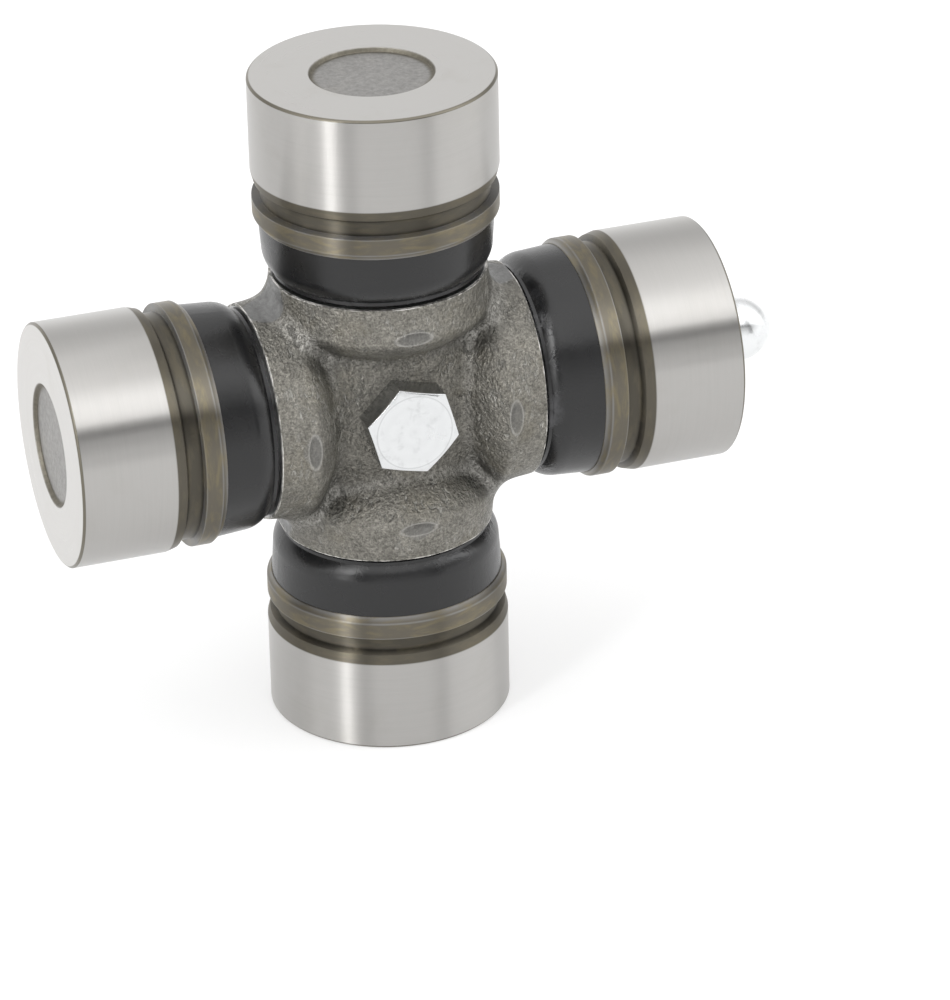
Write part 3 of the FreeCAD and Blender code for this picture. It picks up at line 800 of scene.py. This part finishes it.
def make_end_material():
    """End of a cup: fine ground face, rough recess with a tinted wall, and a darker chamfer."""
    finish, cup = bpy.context.scene.joint_cross.finish, bpy.context.scene.joint_cross.cup
    material, tree, shader = new_material("cup_end", metallic=1.0, rough=0.3)
    place = object_place(tree)
    arm, lines = arm_and_lines(tree, place, 6000.0)
    hair = 0.1 * MM
    face = scaled(1.18, finish.ground)
    floor_tone = scaled(0.66, finish.ground)
    share = calc(tree, "DIVIDE", arm["Radius"], CUP_RADIUS)

    def at(radius):
        return radius / CUP_RADIUS

    slope_start = cup.dimple_radius - cup.dimple_slope
    tone = ramp(tree, share, [
        (0.0, floor_tone), (at(slope_start - 7 * hair), floor_tone), (at(slope_start - hair), RECESS_WALL),
        (at(cup.dimple_radius - hair), RECESS_WALL), (at(cup.dimple_radius + hair), face),
        (at(CUP_RADIUS - cup.rim_chamfer - hair), face),
        (at(CUP_RADIUS - cup.rim_chamfer), RECESS_WALL), (1.0, RECESS_WALL),
    ])
    sunk = rescale(tree, arm["Radius"], cup.dimple_radius + hair, cup.dimple_radius)
    mottle = noise(tree, place, 1500.0, 4.0, 0.7)
    level = rescale(tree, mottle, 0.3, 0.7, 0.78, 1.18)
    tone = blend_colours(tree, sunk, tone, shaded(tree, tone, level))
    film = use_group(tree, "Patchy film", Place=place, Scale=120.0, Cover=0.36)
    tone = blend_colours(tree, times(tree, film["Mask"], 0.2), tone, END_HAZE)
    feed(tree, shader.inputs["Base Color"], tone)
    rough = plus(tree, rescale(tree, lines["Tone"], 0.3, 0.7, 0.26, 0.34), times(tree, sunk, 0.22))
    feed(tree, shader.inputs["Roughness"], rough)
    grain = times(tree, mottle, times(tree, sunk, 6.0))
    bump(tree, shader, plus(tree, lines["Height"], grain), 2 * MICRON)
    return material


def trimmed_share(tree, far, near, sizes):
    """One where the outline is trimmed, and nothing on the skin inside it."""
    side = sizes.crest_radius - sizes.band_inset
    reach = side + sizes.corner_radius
    squares = squared(tree, minus(tree, far, reach), minus(tree, near, reach))
    corner = minus(tree, sizes.corner_radius, calc(tree, "SQRT", squares))
    in_corner = calc(tree, "LESS_THAN", far, reach)
    straight = times(tree, minus(tree, near, side), minus(tree, 1.0, in_corner))
    outline = plus(tree, times(tree, corner, in_corner), straight)
    return rescale(tree, outline, -0.16 * MM, -0.06 * MM, smooth=True)


def stored(tree, name):
    """Number stored at the points of the mesh."""
    return add_node(tree, "ShaderNodeAttribute", attribute_name=name).outputs["Fac"]


def make_forged_material():
    """Grey-brown shot-blasted skin, smooth where it is trimmed and struck flat, with painted shade in its
    hollows and dents and painted highlights on its crests, shoulder edges and dent rims.
    """
    finish, sizes = bpy.context.scene.joint_cross.finish, bpy.context.scene.joint_cross.forging
    shoulder = SEAL_START - sizes.shoulder_gap
    material, tree, shader = new_material("forged_skin", metallic=0.88, rough=0.45)
    place = object_place(tree)
    skin = use_group(tree, "Shot-blasted skin", Place=place, Scale=1.0)
    arm = use_group(tree, "Place on an arm", Place=place)
    across, depth, up = separate(tree, place)
    depth_off = calc(tree, "ABSOLUTE", depth)
    first = calc(tree, "ABSOLUTE", across)
    second = calc(tree, "ABSOLUTE", up)
    near = calc(tree, "MINIMUM", first, second)
    far = calc(tree, "MAXIMUM", first, second)

    trimmed = trimmed_share(tree, far, near, sizes)
    flat_plane = sizes.crest_radius - sizes.flat_depth
    crest_flat = rescale(tree, depth_off, flat_plane - 25 * MICRON, flat_plane - 10 * MICRON)
    on_flat = rescale(tree, near, sizes.flat_radius + 0.2 * MM, sizes.flat_radius)
    struck = times(tree, crest_flat, on_flat)
    smooth_part = calc(tree, "MAXIMUM", trimmed, times(tree, struck, 0.4))

    specks = skin["Specks"]
    tone = ramp(tree, specks,
                [(level, scaled(share, finish.forged)) for level,
                 share in ((0.15, 0.55), (0.5, 0.9), (0.85, 1.35))])
    tone = shaded(tree, tone, rescale(tree, skin["Clouds"], 0.3, 0.7, 0.8, 1.18))
    olive = use_group(tree, "Patchy film", Place=place, Scale=150.0, Cover=0.42)
    tone = blend_colours(tree, times(tree, olive["Mask"], 0.25), tone, OLIVE_FILM)
    tone = blend_colours(tree, times(tree, skin["Scars"], 0.75), tone, WORN_SKIN)
    # Painted shade: darker towards the hub's middle plane and in the hollows of the skin
    recess = rescale(tree, depth_off, 12.2 * MM, 9.8 * MM, smooth=True)
    hollow = rescale(tree, stored(tree, "hollow"), 0.04, 0.3)
    hollow_shade = plus(tree, times(tree, recess, 0.18), times(tree, hollow, 0.5))
    tone = blend_colours(tree, hollow_shade, tone, HOLLOW_SHADE)
    # Painted highlight: paler specks where the skin is prominent, on its crests and edges
    raised = rescale(tree, stored(tree, "prominent"), 0.06, 0.3)
    crest_highlight = times(tree, raised, rescale(tree, specks, 0.3, 0.65, 0.1, 0.6))
    tone = blend_colours(tree, crest_highlight, tone, CREST_HIGHLIGHT)
    smooth_tone = shaded(tree, TRIMMED_STEEL, rescale(tree, skin["Drawn"], 0.3, 0.7, 0.8, 1.15))
    tone = blend_colours(tree, times(tree, smooth_part, 0.9), tone, smooth_tone)
    # Painted highlight: a thin, broken bright line along each shoulder's edge
    at_edge = rescale(tree, arm["Along"], shoulder - 0.16 * MM, shoulder - 0.06 * MM)
    broken = rescale(tree, noise(tree, place, 420.0, 3.0, 0.6), 0.42, 0.58)
    tone = blend_colours(tree, times(tree, at_edge, broken), tone, SHOULDER_HIGHLIGHT)

    # Shallow dent on each crest: an ellipse with painted shade on its floor and a painted highlight on its
    # rim
    off_middle = calc(tree, "DIVIDE", minus(tree, far, shoulder - sizes.dent_inset), sizes.dent_reach)
    spread = squared(tree, off_middle, calc(tree, "DIVIDE", near, sizes.dent_width))
    on_crest = calc(tree, "GREATER_THAN", depth_off, 14 * MM)
    dent = times(tree, calc(tree, "MAXIMUM", minus(tree, 1.0, spread), 0.0), on_crest)
    tone = blend_colours(tree, rescale(tree, dent, 0.0, 0.35, 0.0, 0.5), tone, DENT_SHADE)
    off_rim = calc(tree, "ABSOLUTE", minus(tree, spread, 1.15))
    # Painted highlight on the dent's rim
    rim = times(tree, rescale(tree, off_rim, 0.35, 0.05, 0.0, 0.5), on_crest)
    feed(tree, shader.inputs["Base Color"], blend_colours(tree, rim, tone, DENT_HIGHLIGHT))

    feed(tree, shader.inputs["Roughness"], rescale(tree, specks, 0.2, 0.8, 0.54, 0.34))
    skin_height = minus(tree, skin["Height"], times(tree, skin["Scars"], 1.6))
    rough_height = times(tree, skin_height, minus(tree, 1.0, smooth_part))
    bump(tree, shader, minus(tree, rough_height, times(tree, dent, 2.0)), 200 * MICRON)
    return material


def make_rubber_material():
    """Satin black moulded rubber with a little grease by the collar."""
    finish = bpy.context.scene.joint_cross.finish
    material, tree, shader = new_material("moulded_rubber", rough=0.42, Specular_IOR_Level=0.5)
    place = object_place(tree)
    arm = use_group(tree, "Place on an arm", Place=place)
    film = use_group(tree, "Patchy film", Place=place, Scale=260.0, Cover=0.4)
    near_collar = rescale(tree, arm["Along"], SEAL_START + 2.4 * MM, SEAL_START + 0.6 * MM, smooth=True)
    across, _, _ = separate(tree, place)
    share = rescale(tree, across, -10 * MM, 18 * MM, 0.3, 1.0)
    greasy = times(tree, times(tree, film["Mask"], near_collar), share)
    base = tuple(finish.rubber)
    tone = blend_colours(tree, greasy, base, scaled(6.0, base))
    feed(tree, shader.inputs["Base Color"], tone)
    grain = noise(tree, place, 2400.0, 2.0, 0.6)
    patches = noise(tree, place, 140.0, 3.0, 0.5)
    rough = plus(tree, rescale(tree, patches, 0.3, 0.7, 0.22, 0.34), times(tree, greasy, -0.2))
    feed(tree, shader.inputs["Roughness"], rough)
    swell = plus(tree, times(tree, patches, 4.0), times(tree, greasy, 5.0))
    bump(tree, shader, plus(tree, grain, swell), 16 * MICRON)
    return material


def make_zinc_material(name, axis_index, end, side_tone):
    """Bright zinc plate, turned round the piece's own axis at its end; elsewhere its tone is multiplied by
    a side level, which on the plug is a painted reflection darkening its sides.
    """
    finish = bpy.context.scene.joint_cross.finish
    material, tree, shader = new_material(name, metallic=1.0, rough=0.2)
    place = object_place(tree)
    parts = separate(tree, place)
    others = [part for index, part in enumerate(parts) if index != axis_index]
    radius = calc(tree, "SQRT", squared(tree, *others))
    wobble = noise(tree, place, 300.0, 2.0, 0.5)
    reach = plus(tree, times(tree, radius, 3400.0), times(tree, wobble, 7.0))
    rings = calc(tree, "SINE", reach)
    outward = calc(tree, "ABSOLUTE", parts[axis_index])
    from_end = rescale(tree, outward, end - 0.7 * MM, end - 0.35 * MM)
    stain = use_group(tree, "Patchy film", Place=place, Scale=620.0, Cover=0.4)
    base = tuple(finish.zinc)
    tone = blend_colours(tree, times(tree, stain["Mask"], 0.6), base, scaled(0.78, base))
    turned = rescale(tree, rings, -1.0, 1.0, 0.985, 1.01)
    off_line = calc(tree, "ABSOLUTE", minus(tree, radius, 5.55 * MM))
    fine_line = rescale(tree, off_line, 0.14 * MM, 0.04 * MM)
    turned = minus(tree, turned, times(tree, fine_line, 0.16))
    tone = shaded(tree, tone, turned)
    # Painted reflection: on the plug the side level darkens the sides, standing in for the dark forging
    # they mirror
    side_toned = blend_colours(tree, 1.0, tone, grey(side_tone), "MULTIPLY")
    tone = blend_colours(tree, from_end, side_toned, tone)
    feed(tree, shader.inputs["Base Color"], tone)
    feed(tree, shader.inputs["Roughness"], rescale(tree, wobble, 0.3, 0.7, 0.17, 0.3))
    bump(tree, shader, times(tree, rings, rescale(tree, wobble, 0.4, 0.6)), 3 * MICRON)
    return material


def make_steel_material():
    """Machined steel of the trunnions, with fine turning lines."""
    material, tree, shader = new_material("machined_steel", metallic=1.0, rough=0.3)
    _, lines = arm_and_lines(tree, object_place(tree), 7000.0)
    level = rescale(tree, lines["Tone"], 0.3, 0.7, 0.42, 0.56)
    feed(tree, shader.inputs["Base Color"], compose(tree, level, level, level))
    feed(tree, shader.inputs["Roughness"], rescale(tree, lines["Tone"], 0.3, 0.7, 0.26, 0.36))
    bump(tree, shader, lines["Height"], 2 * MICRON)
    return material


def make_roller_material():
    """Polished bearing steel."""
    material, tree, shader = new_material("polished_steel", metallic=1.0, rough=0.14)
    place = object_place(tree)
    haze = noise(tree, place, 900.0, 3.0, 0.6)
    level = rescale(tree, haze, 0.3, 0.7, 0.5, 0.62)
    feed(tree, shader.inputs["Base Color"], compose(tree, level, level, level))
    feed(tree, shader.inputs["Roughness"], rescale(tree, haze, 0.3, 0.7, 0.1, 0.22))
    bump(tree, shader, haze, 1 * MICRON)
    return material


def make_washer_material():
    """Moulded off-white polymer."""
    material, tree, shader = new_material("washer_polymer", rough=0.45)
    place = object_place(tree)
    haze = noise(tree, place, 600.0, 3.0, 0.6)
    tone = blend_colours(tree, haze, (0.62, 0.58, 0.48), (0.74, 0.71, 0.62))
    feed(tree, shader.inputs["Base Color"], tone)
    feed(tree, shader.inputs["Roughness"], rescale(tree, haze, 0.3, 0.7, 0.4, 0.55))
    bump(tree, shader, haze, 6 * MICRON)
    return material


# Operators

class CROSS_OT_materials(Operator):
    """Makes the shared effects and the materials."""
    bl_idname = "cross.materials"
    bl_label = "Materials"

    def execute(self, context):
        make_arm_group()
        make_grinding_group()
        make_blast_group()
        make_smear_group()
        make_ground_material("cup_upright", "Z")
        make_ground_material("cup_level", "X")
        make_end_material()
        make_forged_material()
        make_rubber_material()
        make_zinc_material("zinc_plug", 1, -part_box("centre_plug")[0].y, 0.5)
        make_zinc_material("zinc_nipple", 0, 2 * END, 1.12)
        make_steel_material()
        make_roller_material()
        make_washer_material()
        return {"FINISHED"}


class CROSS_OT_forging(Operator):
    """Makes the forged body of the spider, from the hub to the machined shoulders."""
    bl_idname = "cross.forging"
    bl_label = "Forging"

    def execute(self, context):
        sizes = context.scene.joint_cross.forging
        shoulder = SEAL_START - sizes.shoulder_gap
        reach = shoulder + 3 * sizes.cell
        margin = sizes.crest_radius + 3 * sizes.cell

        def distance(places):
            return forging_distance(places, sizes)

        points, quads = wrap_skin(distance, (-reach, -margin, -reach), (reach, margin, reach), sizes.cell)
        points = settle(points, distance)
        mesh = bpy.data.meshes.new("forging")
        mesh.from_pydata(points.tolist(), [], quads.tolist())
        self.face_shoulders(mesh, shoulder)
        self.mark_form(mesh, distance, 1.6 * MM)
        finish_mesh("spider_forging", mesh, "spider", bpy.data.materials["forged_skin"],
                    replaced=("spider",), sharp=60.0)
        return {"FINISHED"}

    def mark_form(self, mesh, distance, reach):
        """Stores how hollow and how prominent the skin is at each point; the skin's material paints shade
        in the hollows and highlights on the prominent parts from these.
        """
        places, normals = np.empty((2, len(mesh.vertices), 3))
        for name, values in (("co", places), ("normal", normals)):
            mesh.vertices.foreach_get(name, values.ravel())
        hollow = 1.0 - distance(places + reach * normals) / reach
        prominent = 1.0 + distance(places - reach * normals) / reach
        for label, content in (("hollow", hollow), ("prominent", prominent)):
            layer = mesh.attributes.new(label, "FLOAT", "POINT")
            layer.data.foreach_set("value", np.clip(content, 0.0, 1.0).astype(np.float32))

    def face_shoulders(self, mesh, shoulder):
        """Cuts the four bosses square at their shoulders and closes them."""
        shape = bmesh.new()
        shape.from_mesh(mesh)
        for turn in ARMS.values():
            way = Matrix.Rotation(math.radians(turn), 3, "Y") @ Vector((0, 0, 1))
            bmesh.ops.bisect_plane(shape, geom=shape.verts[:] + shape.edges[:] + shape.faces[:],
                                   dist=1e-7, plane_co=way * shoulder, plane_no=way, clear_outer=True)
        for face in shape.faces:
            face.smooth = True
        rims = [edge for edge in shape.edges if edge.is_boundary]
        closed = bmesh.ops.holes_fill(shape, edges=rims, sides=0)
        for face in closed["faces"]:
            face.smooth = False
        bmesh.ops.recalc_face_normals(shape, faces=shape.faces)
        shape.to_mesh(mesh)
        shape.free()


class CROSS_OT_trunnions(Operator):
    """Makes the machined shoulders, seal seats and trunnions of the spider."""
    bl_idname = "cross.trunnions"
    bl_label = "Trunnions"

    def execute(self, context):
        sizes = context.scene.joint_cross.forging
        segments = context.scene.joint_cross.cup.segments
        shoulder = SEAL_START - sizes.shoulder_gap
        seat_end = shoulder + sizes.seat_length
        mouth = JOURNAL_END - sizes.reservoir_depth
        throat = mouth + sizes.reservoir_radius - sizes.passage_radius
        root = shoulder - 0.4 * MM
        face = shoulder + 0.02 * MM
        rim = sizes.crest_radius - sizes.shoulder_drop - 0.35 * MM
        tip = sizes.journal_radius - 0.8 * MM
        section = eased([
            (sizes.passage_radius, root), (rim, root), (rim, face), (sizes.seat_radius, face),
            (sizes.seat_radius, seat_end, 0.1 * MM),
            (sizes.journal_radius, seat_end + sizes.seat_taper, 0.2 * MM),
            (sizes.journal_radius, JOURNAL_END - 0.8 * MM, 0.2 * MM), (tip, JOURNAL_END, 0.1 * MM),
            (sizes.reservoir_radius, JOURNAL_END, 0.1 * MM), (sizes.reservoir_radius, throat),
            (sizes.passage_radius, mouth),
        ])
        joined = bmesh.new()
        for turn in ARMS.values():
            mesh = lathe(section, segments)
            mesh.transform(Matrix.Rotation(math.radians(turn), 4, "Y"))
            joined.from_mesh(mesh)
            bpy.data.meshes.remove(mesh)
        mesh = bpy.data.meshes.new("trunnions")
        joined.to_mesh(mesh)
        joined.free()
        finish_mesh("spider_trunnions", mesh, "spider",
                    bpy.data.materials["machined_steel"], replaced=("spider",))
        return {"FINISHED"}


class CROSS_OT_plug(Operator):
    """Makes the hexagon plug of the hub with eased edges."""
    bl_idname = "cross.plug"
    bl_label = "Plug"

    def execute(self, context):
        mesh = eased_copy("centre_plug", 0.12 * MM)
        finish_mesh("plug", mesh, "spider", bpy.data.materials["zinc_plug"],
                    replaced=("centre_plug",))
        return {"FINISHED"}


class CROSS_OT_nipple(Operator):
    """Makes the grease nipple with eased edges."""
    bl_idname = "cross.nipple"
    bl_label = "Grease nipple"

    def execute(self, context):
        mesh = eased_copy("grease_nipple", 0.08 * MM)
        finish_mesh("nipple", mesh, f"cap_{NIPPLE_ARM}",
                    bpy.data.materials["zinc_nipple"], replaced=("grease_nipple",))
        return {"FINISHED"}


class CROSS_OT_cups(Operator):
    """Makes the four turned bearing cups."""
    bl_idname = "cross.cups"
    bl_label = "Bearing cups"

    def execute(self, context):
        cup = context.scene.joint_cross.cup
        land_end = END - cup.land_length
        neck_end = land_end - cup.neck_length
        groove_start = neck_end - cup.groove_slope
        groove_end = groove_start - cup.groove_width
        lip_end = groove_end - cup.lip_width
        groove = CUP_RADIUS - cup.groove_depth
        lip = CUP_RADIUS - cup.lip_inset
        spigot = BORE_RADIUS + cup.spigot_wall
        floor = END - cup.dimple_depth
        ease = 0.1 * MM
        for arm in ARMS:
            centre = 4.0 * MM if arm == NIPPLE_ARM else 0.0
            section = eased([
                (centre, floor), (cup.dimple_radius - cup.dimple_slope, floor, 1.5 * ease),
                (cup.dimple_radius, END, ease),
                (CUP_RADIUS - cup.rim_chamfer, END, ease), (CUP_RADIUS, END - cup.rim_chamfer, ease),
                (CUP_RADIUS, land_end, 0.6 * ease), (CUP_RADIUS - cup.neck_drop, neck_end, 0.6 * ease),
                (groove, groove_start, ease), (groove, groove_end, 1.5 * ease),
                (lip, groove_end, 0.8 * ease), (lip, lip_end, ease),
                (lip - cup.bevel_drop, BEVEL_END, ease), (spigot, BEVEL_END),
                (spigot, MOUTH, ease), (BORE_RADIUS, MOUTH, ease),
                (BORE_RADIUS, BORE_END), (centre, BORE_END),
            ])
            material = "cup_upright" if arm in ("top", "bottom") else "cup_level"
            finish_mesh(f"cup_{arm}", lathe(section, cup.segments), f"cap_{arm}",
                        bpy.data.materials[material], replaced=(f"bearing_cup_{arm}",), arm=arm,
                        end=bpy.data.materials["cup_end"])
        return {"FINISHED"}


class CROSS_OT_rollers(Operator):
    """Makes the full sets of needle rollers with rounded ends."""
    bl_idname = "cross.rollers"
    bl_label = "Needle rollers"
    sections = 24
    sides = 20

    def execute(self, context):
        sizes = context.scene.joint_cross.rollers
        pitch = ROLLERS_HIGH.x - sizes.radius
        tree = self.roller_tree()
        for arm in ARMS:
            mesh = bpy.data.meshes.new(f"rollers_{arm}")
            piece = bpy.data.objects.new(f"rollers_{arm}", mesh)
            context.scene.collection.objects.link(piece)
            modifier = piece.modifiers.new("Rollers", "NODES")
            modifier.node_group = tree
            values = {"Count": sizes.count, "Pitch radius": pitch, "Roller radius": sizes.radius,
                      "End round": sizes.end_round, "Start": ROLLERS_LOW.z, "Finish": ROLLERS_HIGH.z,
                      "Material": bpy.data.materials["polished_steel"]}
            for item in tree.interface.items_tree:
                if item.item_type == "SOCKET" and item.in_out == "INPUT" and item.name in values:
                    modifier[item.identifier] = values[item.name]
            bake_modifiers(piece)
            mesh = piece.data
            bpy.data.objects.remove(piece)
            finish_mesh(f"rollers_{arm}", mesh, f"rollers_{arm}",
                        bpy.data.materials["polished_steel"], replaced=(f"needle_rollers_{arm}",), arm=arm)
        return {"FINISHED"}

    def roller_tree(self):
        """Geometry Nodes that set a round-ended roller round a circle."""
        tree = bpy.data.node_groups.new("Roller set", "GeometryNodeTree")
        interface = tree.interface
        interface.new_socket(name="Geometry", in_out="INPUT", socket_type="NodeSocketGeometry")
        interface.new_socket(name="Count", in_out="INPUT", socket_type="NodeSocketInt")
        for label in ("Pitch radius", "Roller radius", "End round", "Start", "Finish"):
            interface.new_socket(name=label, in_out="INPUT", socket_type="NodeSocketFloat")
        interface.new_socket(name="Material", in_out="INPUT", socket_type="NodeSocketMaterial")
        interface.new_socket(name="Geometry", in_out="OUTPUT", socket_type="NodeSocketGeometry")
        given = tree.nodes.new("NodeGroupInput").outputs
        result = tree.nodes.new("NodeGroupOutput").inputs[0]

        spine = add_node(tree, "GeometryNodeCurvePrimitiveLine")
        feed(tree, spine.inputs["Start"], compose(tree, 0.0, 0.0, given["Start"]))
        feed(tree, spine.inputs["End"], compose(tree, 0.0, 0.0, given["Finish"]))
        divide = add_node(tree, "GeometryNodeResampleCurve")
        feed(tree, divide.inputs["Curve"], spine.outputs[0])
        feed(tree, divide.inputs["Count"], self.sections)
        place = add_node(tree, "GeometryNodeSplineParameter").outputs["Length"]
        whole = minus(tree, given["Finish"], given["Start"])
        from_end = calc(tree, "MINIMUM", place, minus(tree, whole, place))
        lack = calc(tree, "MAXIMUM", minus(tree, given["End round"], from_end), 0.0)
        drop = calc(tree, "DIVIDE", times(tree, lack, lack), given["End round"])
        width = minus(tree, given["Roller radius"], drop)
        outline = add_node(tree, "GeometryNodeCurvePrimitiveCircle")
        feed(tree, outline.inputs["Resolution"], self.sides)
        feed(tree, outline.inputs["Radius"], 1.0)
        thick = add_node(tree, "GeometryNodeCurveToMesh")
        feed(tree, thick.inputs["Curve"], divide.outputs[0])
        feed(tree, thick.inputs["Profile Curve"], outline.outputs[0])
        feed(tree, thick.inputs["Scale"], width)
        feed(tree, thick.inputs["Fill Caps"], True)
        ring = add_node(tree, "GeometryNodeMeshCircle", fill_type="NONE")
        feed(tree, ring.inputs["Vertices"], given["Count"])
        feed(tree, ring.inputs["Radius"], given["Pitch radius"])
        spread = add_node(tree, "GeometryNodeInstanceOnPoints")
        feed(tree, spread.inputs["Points"], ring.outputs[0])
        feed(tree, spread.inputs["Instance"], thick.outputs[0])
        real = add_node(tree, "GeometryNodeRealizeInstances")
        feed(tree, real.inputs[0], spread.outputs[0])
        dress = add_node(tree, "GeometryNodeSetMaterial")
        feed(tree, dress.inputs["Geometry"], real.outputs[0])
        feed(tree, dress.inputs["Material"], given["Material"])
        feed(tree, result, dress.outputs[0])
        return tree


class CROSS_OT_frame_finishes(Operator):
    """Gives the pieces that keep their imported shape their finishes."""
    bl_idname = "cross.frame_finishes"
    bl_label = "Seals, washers and retainers"

    def execute(self, context):
        finishes = {"dust_seal": "moulded_rubber", "thrust_washer": "washer_polymer",
                    "roller_retainer": "machined_steel"}
        for kind, finish in finishes.items():
            for arm in ARMS:
                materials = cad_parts[f"{kind}_{arm}"].data.materials
                materials.clear()
                materials.append(bpy.data.materials[finish])
        return {"FINISHED"}


class CROSS_OT_stage(Operator):
    """Makes the floor, the soft light and the camera."""
    bl_idname = "cross.stage"
    bl_label = "Stage"

    def execute(self, context):
        stage = context.scene.joint_cross.stage
        context.scene.view_settings.view_transform = "Standard"
        self.make_floor(stage)
        self.make_world(context)
        self.make_camera(context, stage)
        return {"FINISHED"}

    def make_floor(self, stage):
        """Plain pale floor under the lower cup."""
        half = stage.floor_size / 2
        low = CAD_BOX[0][2]
        mesh = bpy.data.meshes.new("floor")
        mesh.from_pydata([(-half, -half, low), (half, -half, low), (half, half, low), (-half, half, low)],
                         [], [(0, 1, 2, 3)])
        material, tree, shader = new_material("pale_floor", rough=0.9, Specular_IOR_Level=0.1)
        shader.inputs["Base Color"].default_value = rgba(scaled(0.5, stage.floor_colour))
        shader.inputs["Emission Color"].default_value = rgba(tuple(stage.floor_colour))
        shader.inputs["Emission Strength"].default_value = 0.54
        mesh.materials.append(material)
        floor = bpy.data.objects.new("floor", mesh)
        bpy.context.scene.collection.objects.link(floor)

    def make_world(self, context):
        """Studio light by direction: a soft box overhead, a paler horizon and narrow upright strips."""
        world = bpy.data.worlds.new("studio")
        context.scene.world = world
        world.use_nodes = True
        tree = world.node_tree
        direction = add_node(tree, "ShaderNodeTexCoord").outputs["Generated"]
        across, depth, up = separate(tree, direction)
        ahead = times(tree, depth, -1.0)
        arc = calc(tree, "DIVIDE", calc(tree, "ARCTAN2", up, ahead), math.pi)
        arc_light = ramp(tree, arc, [
            (0.0, 1.0), (0.05, 1.0), (0.09, 0.7), (0.14, 0.7), (0.155, 0.22), (0.2, 0.22), (0.215, 1.5),
            (0.235, 1.75), (0.3, 1.8), (0.38, 1.75), (0.6, 1.45), (0.68, 1.15), (0.78, 0.8), (0.88, 0.85),
            (0.95, 1.05), (1.0, 1.05),
        ])
        turn = rescale(tree, calc(tree, "ARCTAN2", across, ahead), -math.pi, math.pi)

        def at(degrees):
            return 0.5 + degrees / 360

        strips = ramp(tree, turn, [
            (0.0, 1.2), (at(-160), 1.3), (at(-120), 0.95), (at(-75), 1.15), (at(-63), 1.5), (at(-62), 7.5),
            (at(-55), 7.5), (at(-53), 0.0), (at(-38), 0.0), (at(-32), 1.05), (at(24), 1.05), (at(28), 0.08),
            (at(36), 0.08), (at(39), 1.3), (at(75), 1.5), (at(95), 0.95), (at(120), 0.9), (1.0, 1.2),
        ])
        low_part = rescale(tree, up, 0.92, 0.6, smooth=True)
        strips = blend_colours(tree, low_part, grey(1.0), strips)
        light = blend_colours(tree, 1.0, arc_light, strips, "MULTIPLY")
        background = tree.nodes["Background"]
        feed(tree, background.inputs["Color"], light)
        background.inputs["Strength"].default_value = 1.0

    def make_camera(self, context, stage):
        """Camera that sees the joint as in the photograph."""
        azimuth, elevation = stage.azimuth, stage.elevation
        right = Vector((math.cos(azimuth), math.sin(azimuth), 0))
        back = Vector((math.sin(azimuth) * math.cos(elevation),
                       -math.cos(azimuth) * math.cos(elevation), math.sin(elevation)))
        up = back.cross(right)
        place = back * stage.distance
        lean = Matrix.Rotation(stage.roll, 3, back)
        right = lean @ right
        up = lean @ up
        target = right * stage.aim_right - up * stage.aim_down
        back = (place - target).normalized()
        right = up.cross(back).normalized()
        up = back.cross(right)
        data = bpy.data.cameras.new("camera")
        data.sensor_fit = "HORIZONTAL"
        data.sensor_width = 36.0
        data.lens = stage.lens
        data.clip_start = 0.01
        data.clip_end = 50.0
        camera = bpy.data.objects.new("camera", data)
        axes = Matrix((right, up, back)).transposed().to_4x4()
        camera.matrix_world = Matrix.Translation(place) @ axes
        context.scene.collection.objects.link(camera)
        context.scene.camera = camera


class CROSS_PT_panel(Panel):
    """Lists the steps that dress the joint cross."""
    bl_idname = "CROSS_PT_panel"
    bl_label = "Joint Cross"
    bl_space_type = "VIEW_3D"
    bl_region_type = "UI"
    bl_category = "Joint Cross"

    def draw(self, context):
        for operator in OPERATORS:
            self.layout.operator(operator.bl_idname)
        settings = context.scene.joint_cross
        for group in (settings.forging, settings.cup, settings.rollers, settings.finish, settings.stage):
            box = self.layout.box()
            for name in group.__annotations__:
                box.prop(group, name)


GROUPS = (CROSS_PG_forging, CROSS_PG_cup, CROSS_PG_rollers, CROSS_PG_finish, CROSS_PG_stage,
          CROSS_PG_settings)
OPERATORS = (CROSS_OT_materials, CROSS_OT_forging, CROSS_OT_trunnions, CROSS_OT_plug, CROSS_OT_nipple,
             CROSS_OT_cups, CROSS_OT_rollers, CROSS_OT_frame_finishes, CROSS_OT_stage)
CLASSES = (*GROUPS, *OPERATORS, CROSS_PT_panel)


def register():
    """Registers the classes and the scene's settings."""
    for item in CLASSES:
        bpy.utils.register_class(item)
    bpy.types.Scene.joint_cross = PointerProperty(type=CROSS_PG_settings)


def unregister():
    """Removes the settings and the classes."""
    del bpy.types.Scene.joint_cross
    for item in reversed(CLASSES):
        bpy.utils.unregister_class(item)


def main():
    """Dresses the joint cross."""
    register()
    for operator in OPERATORS:
        group, name = operator.bl_idname.split(".")
        getattr(getattr(bpy.ops, group), name)()


if __name__ == "__main__":
    main()
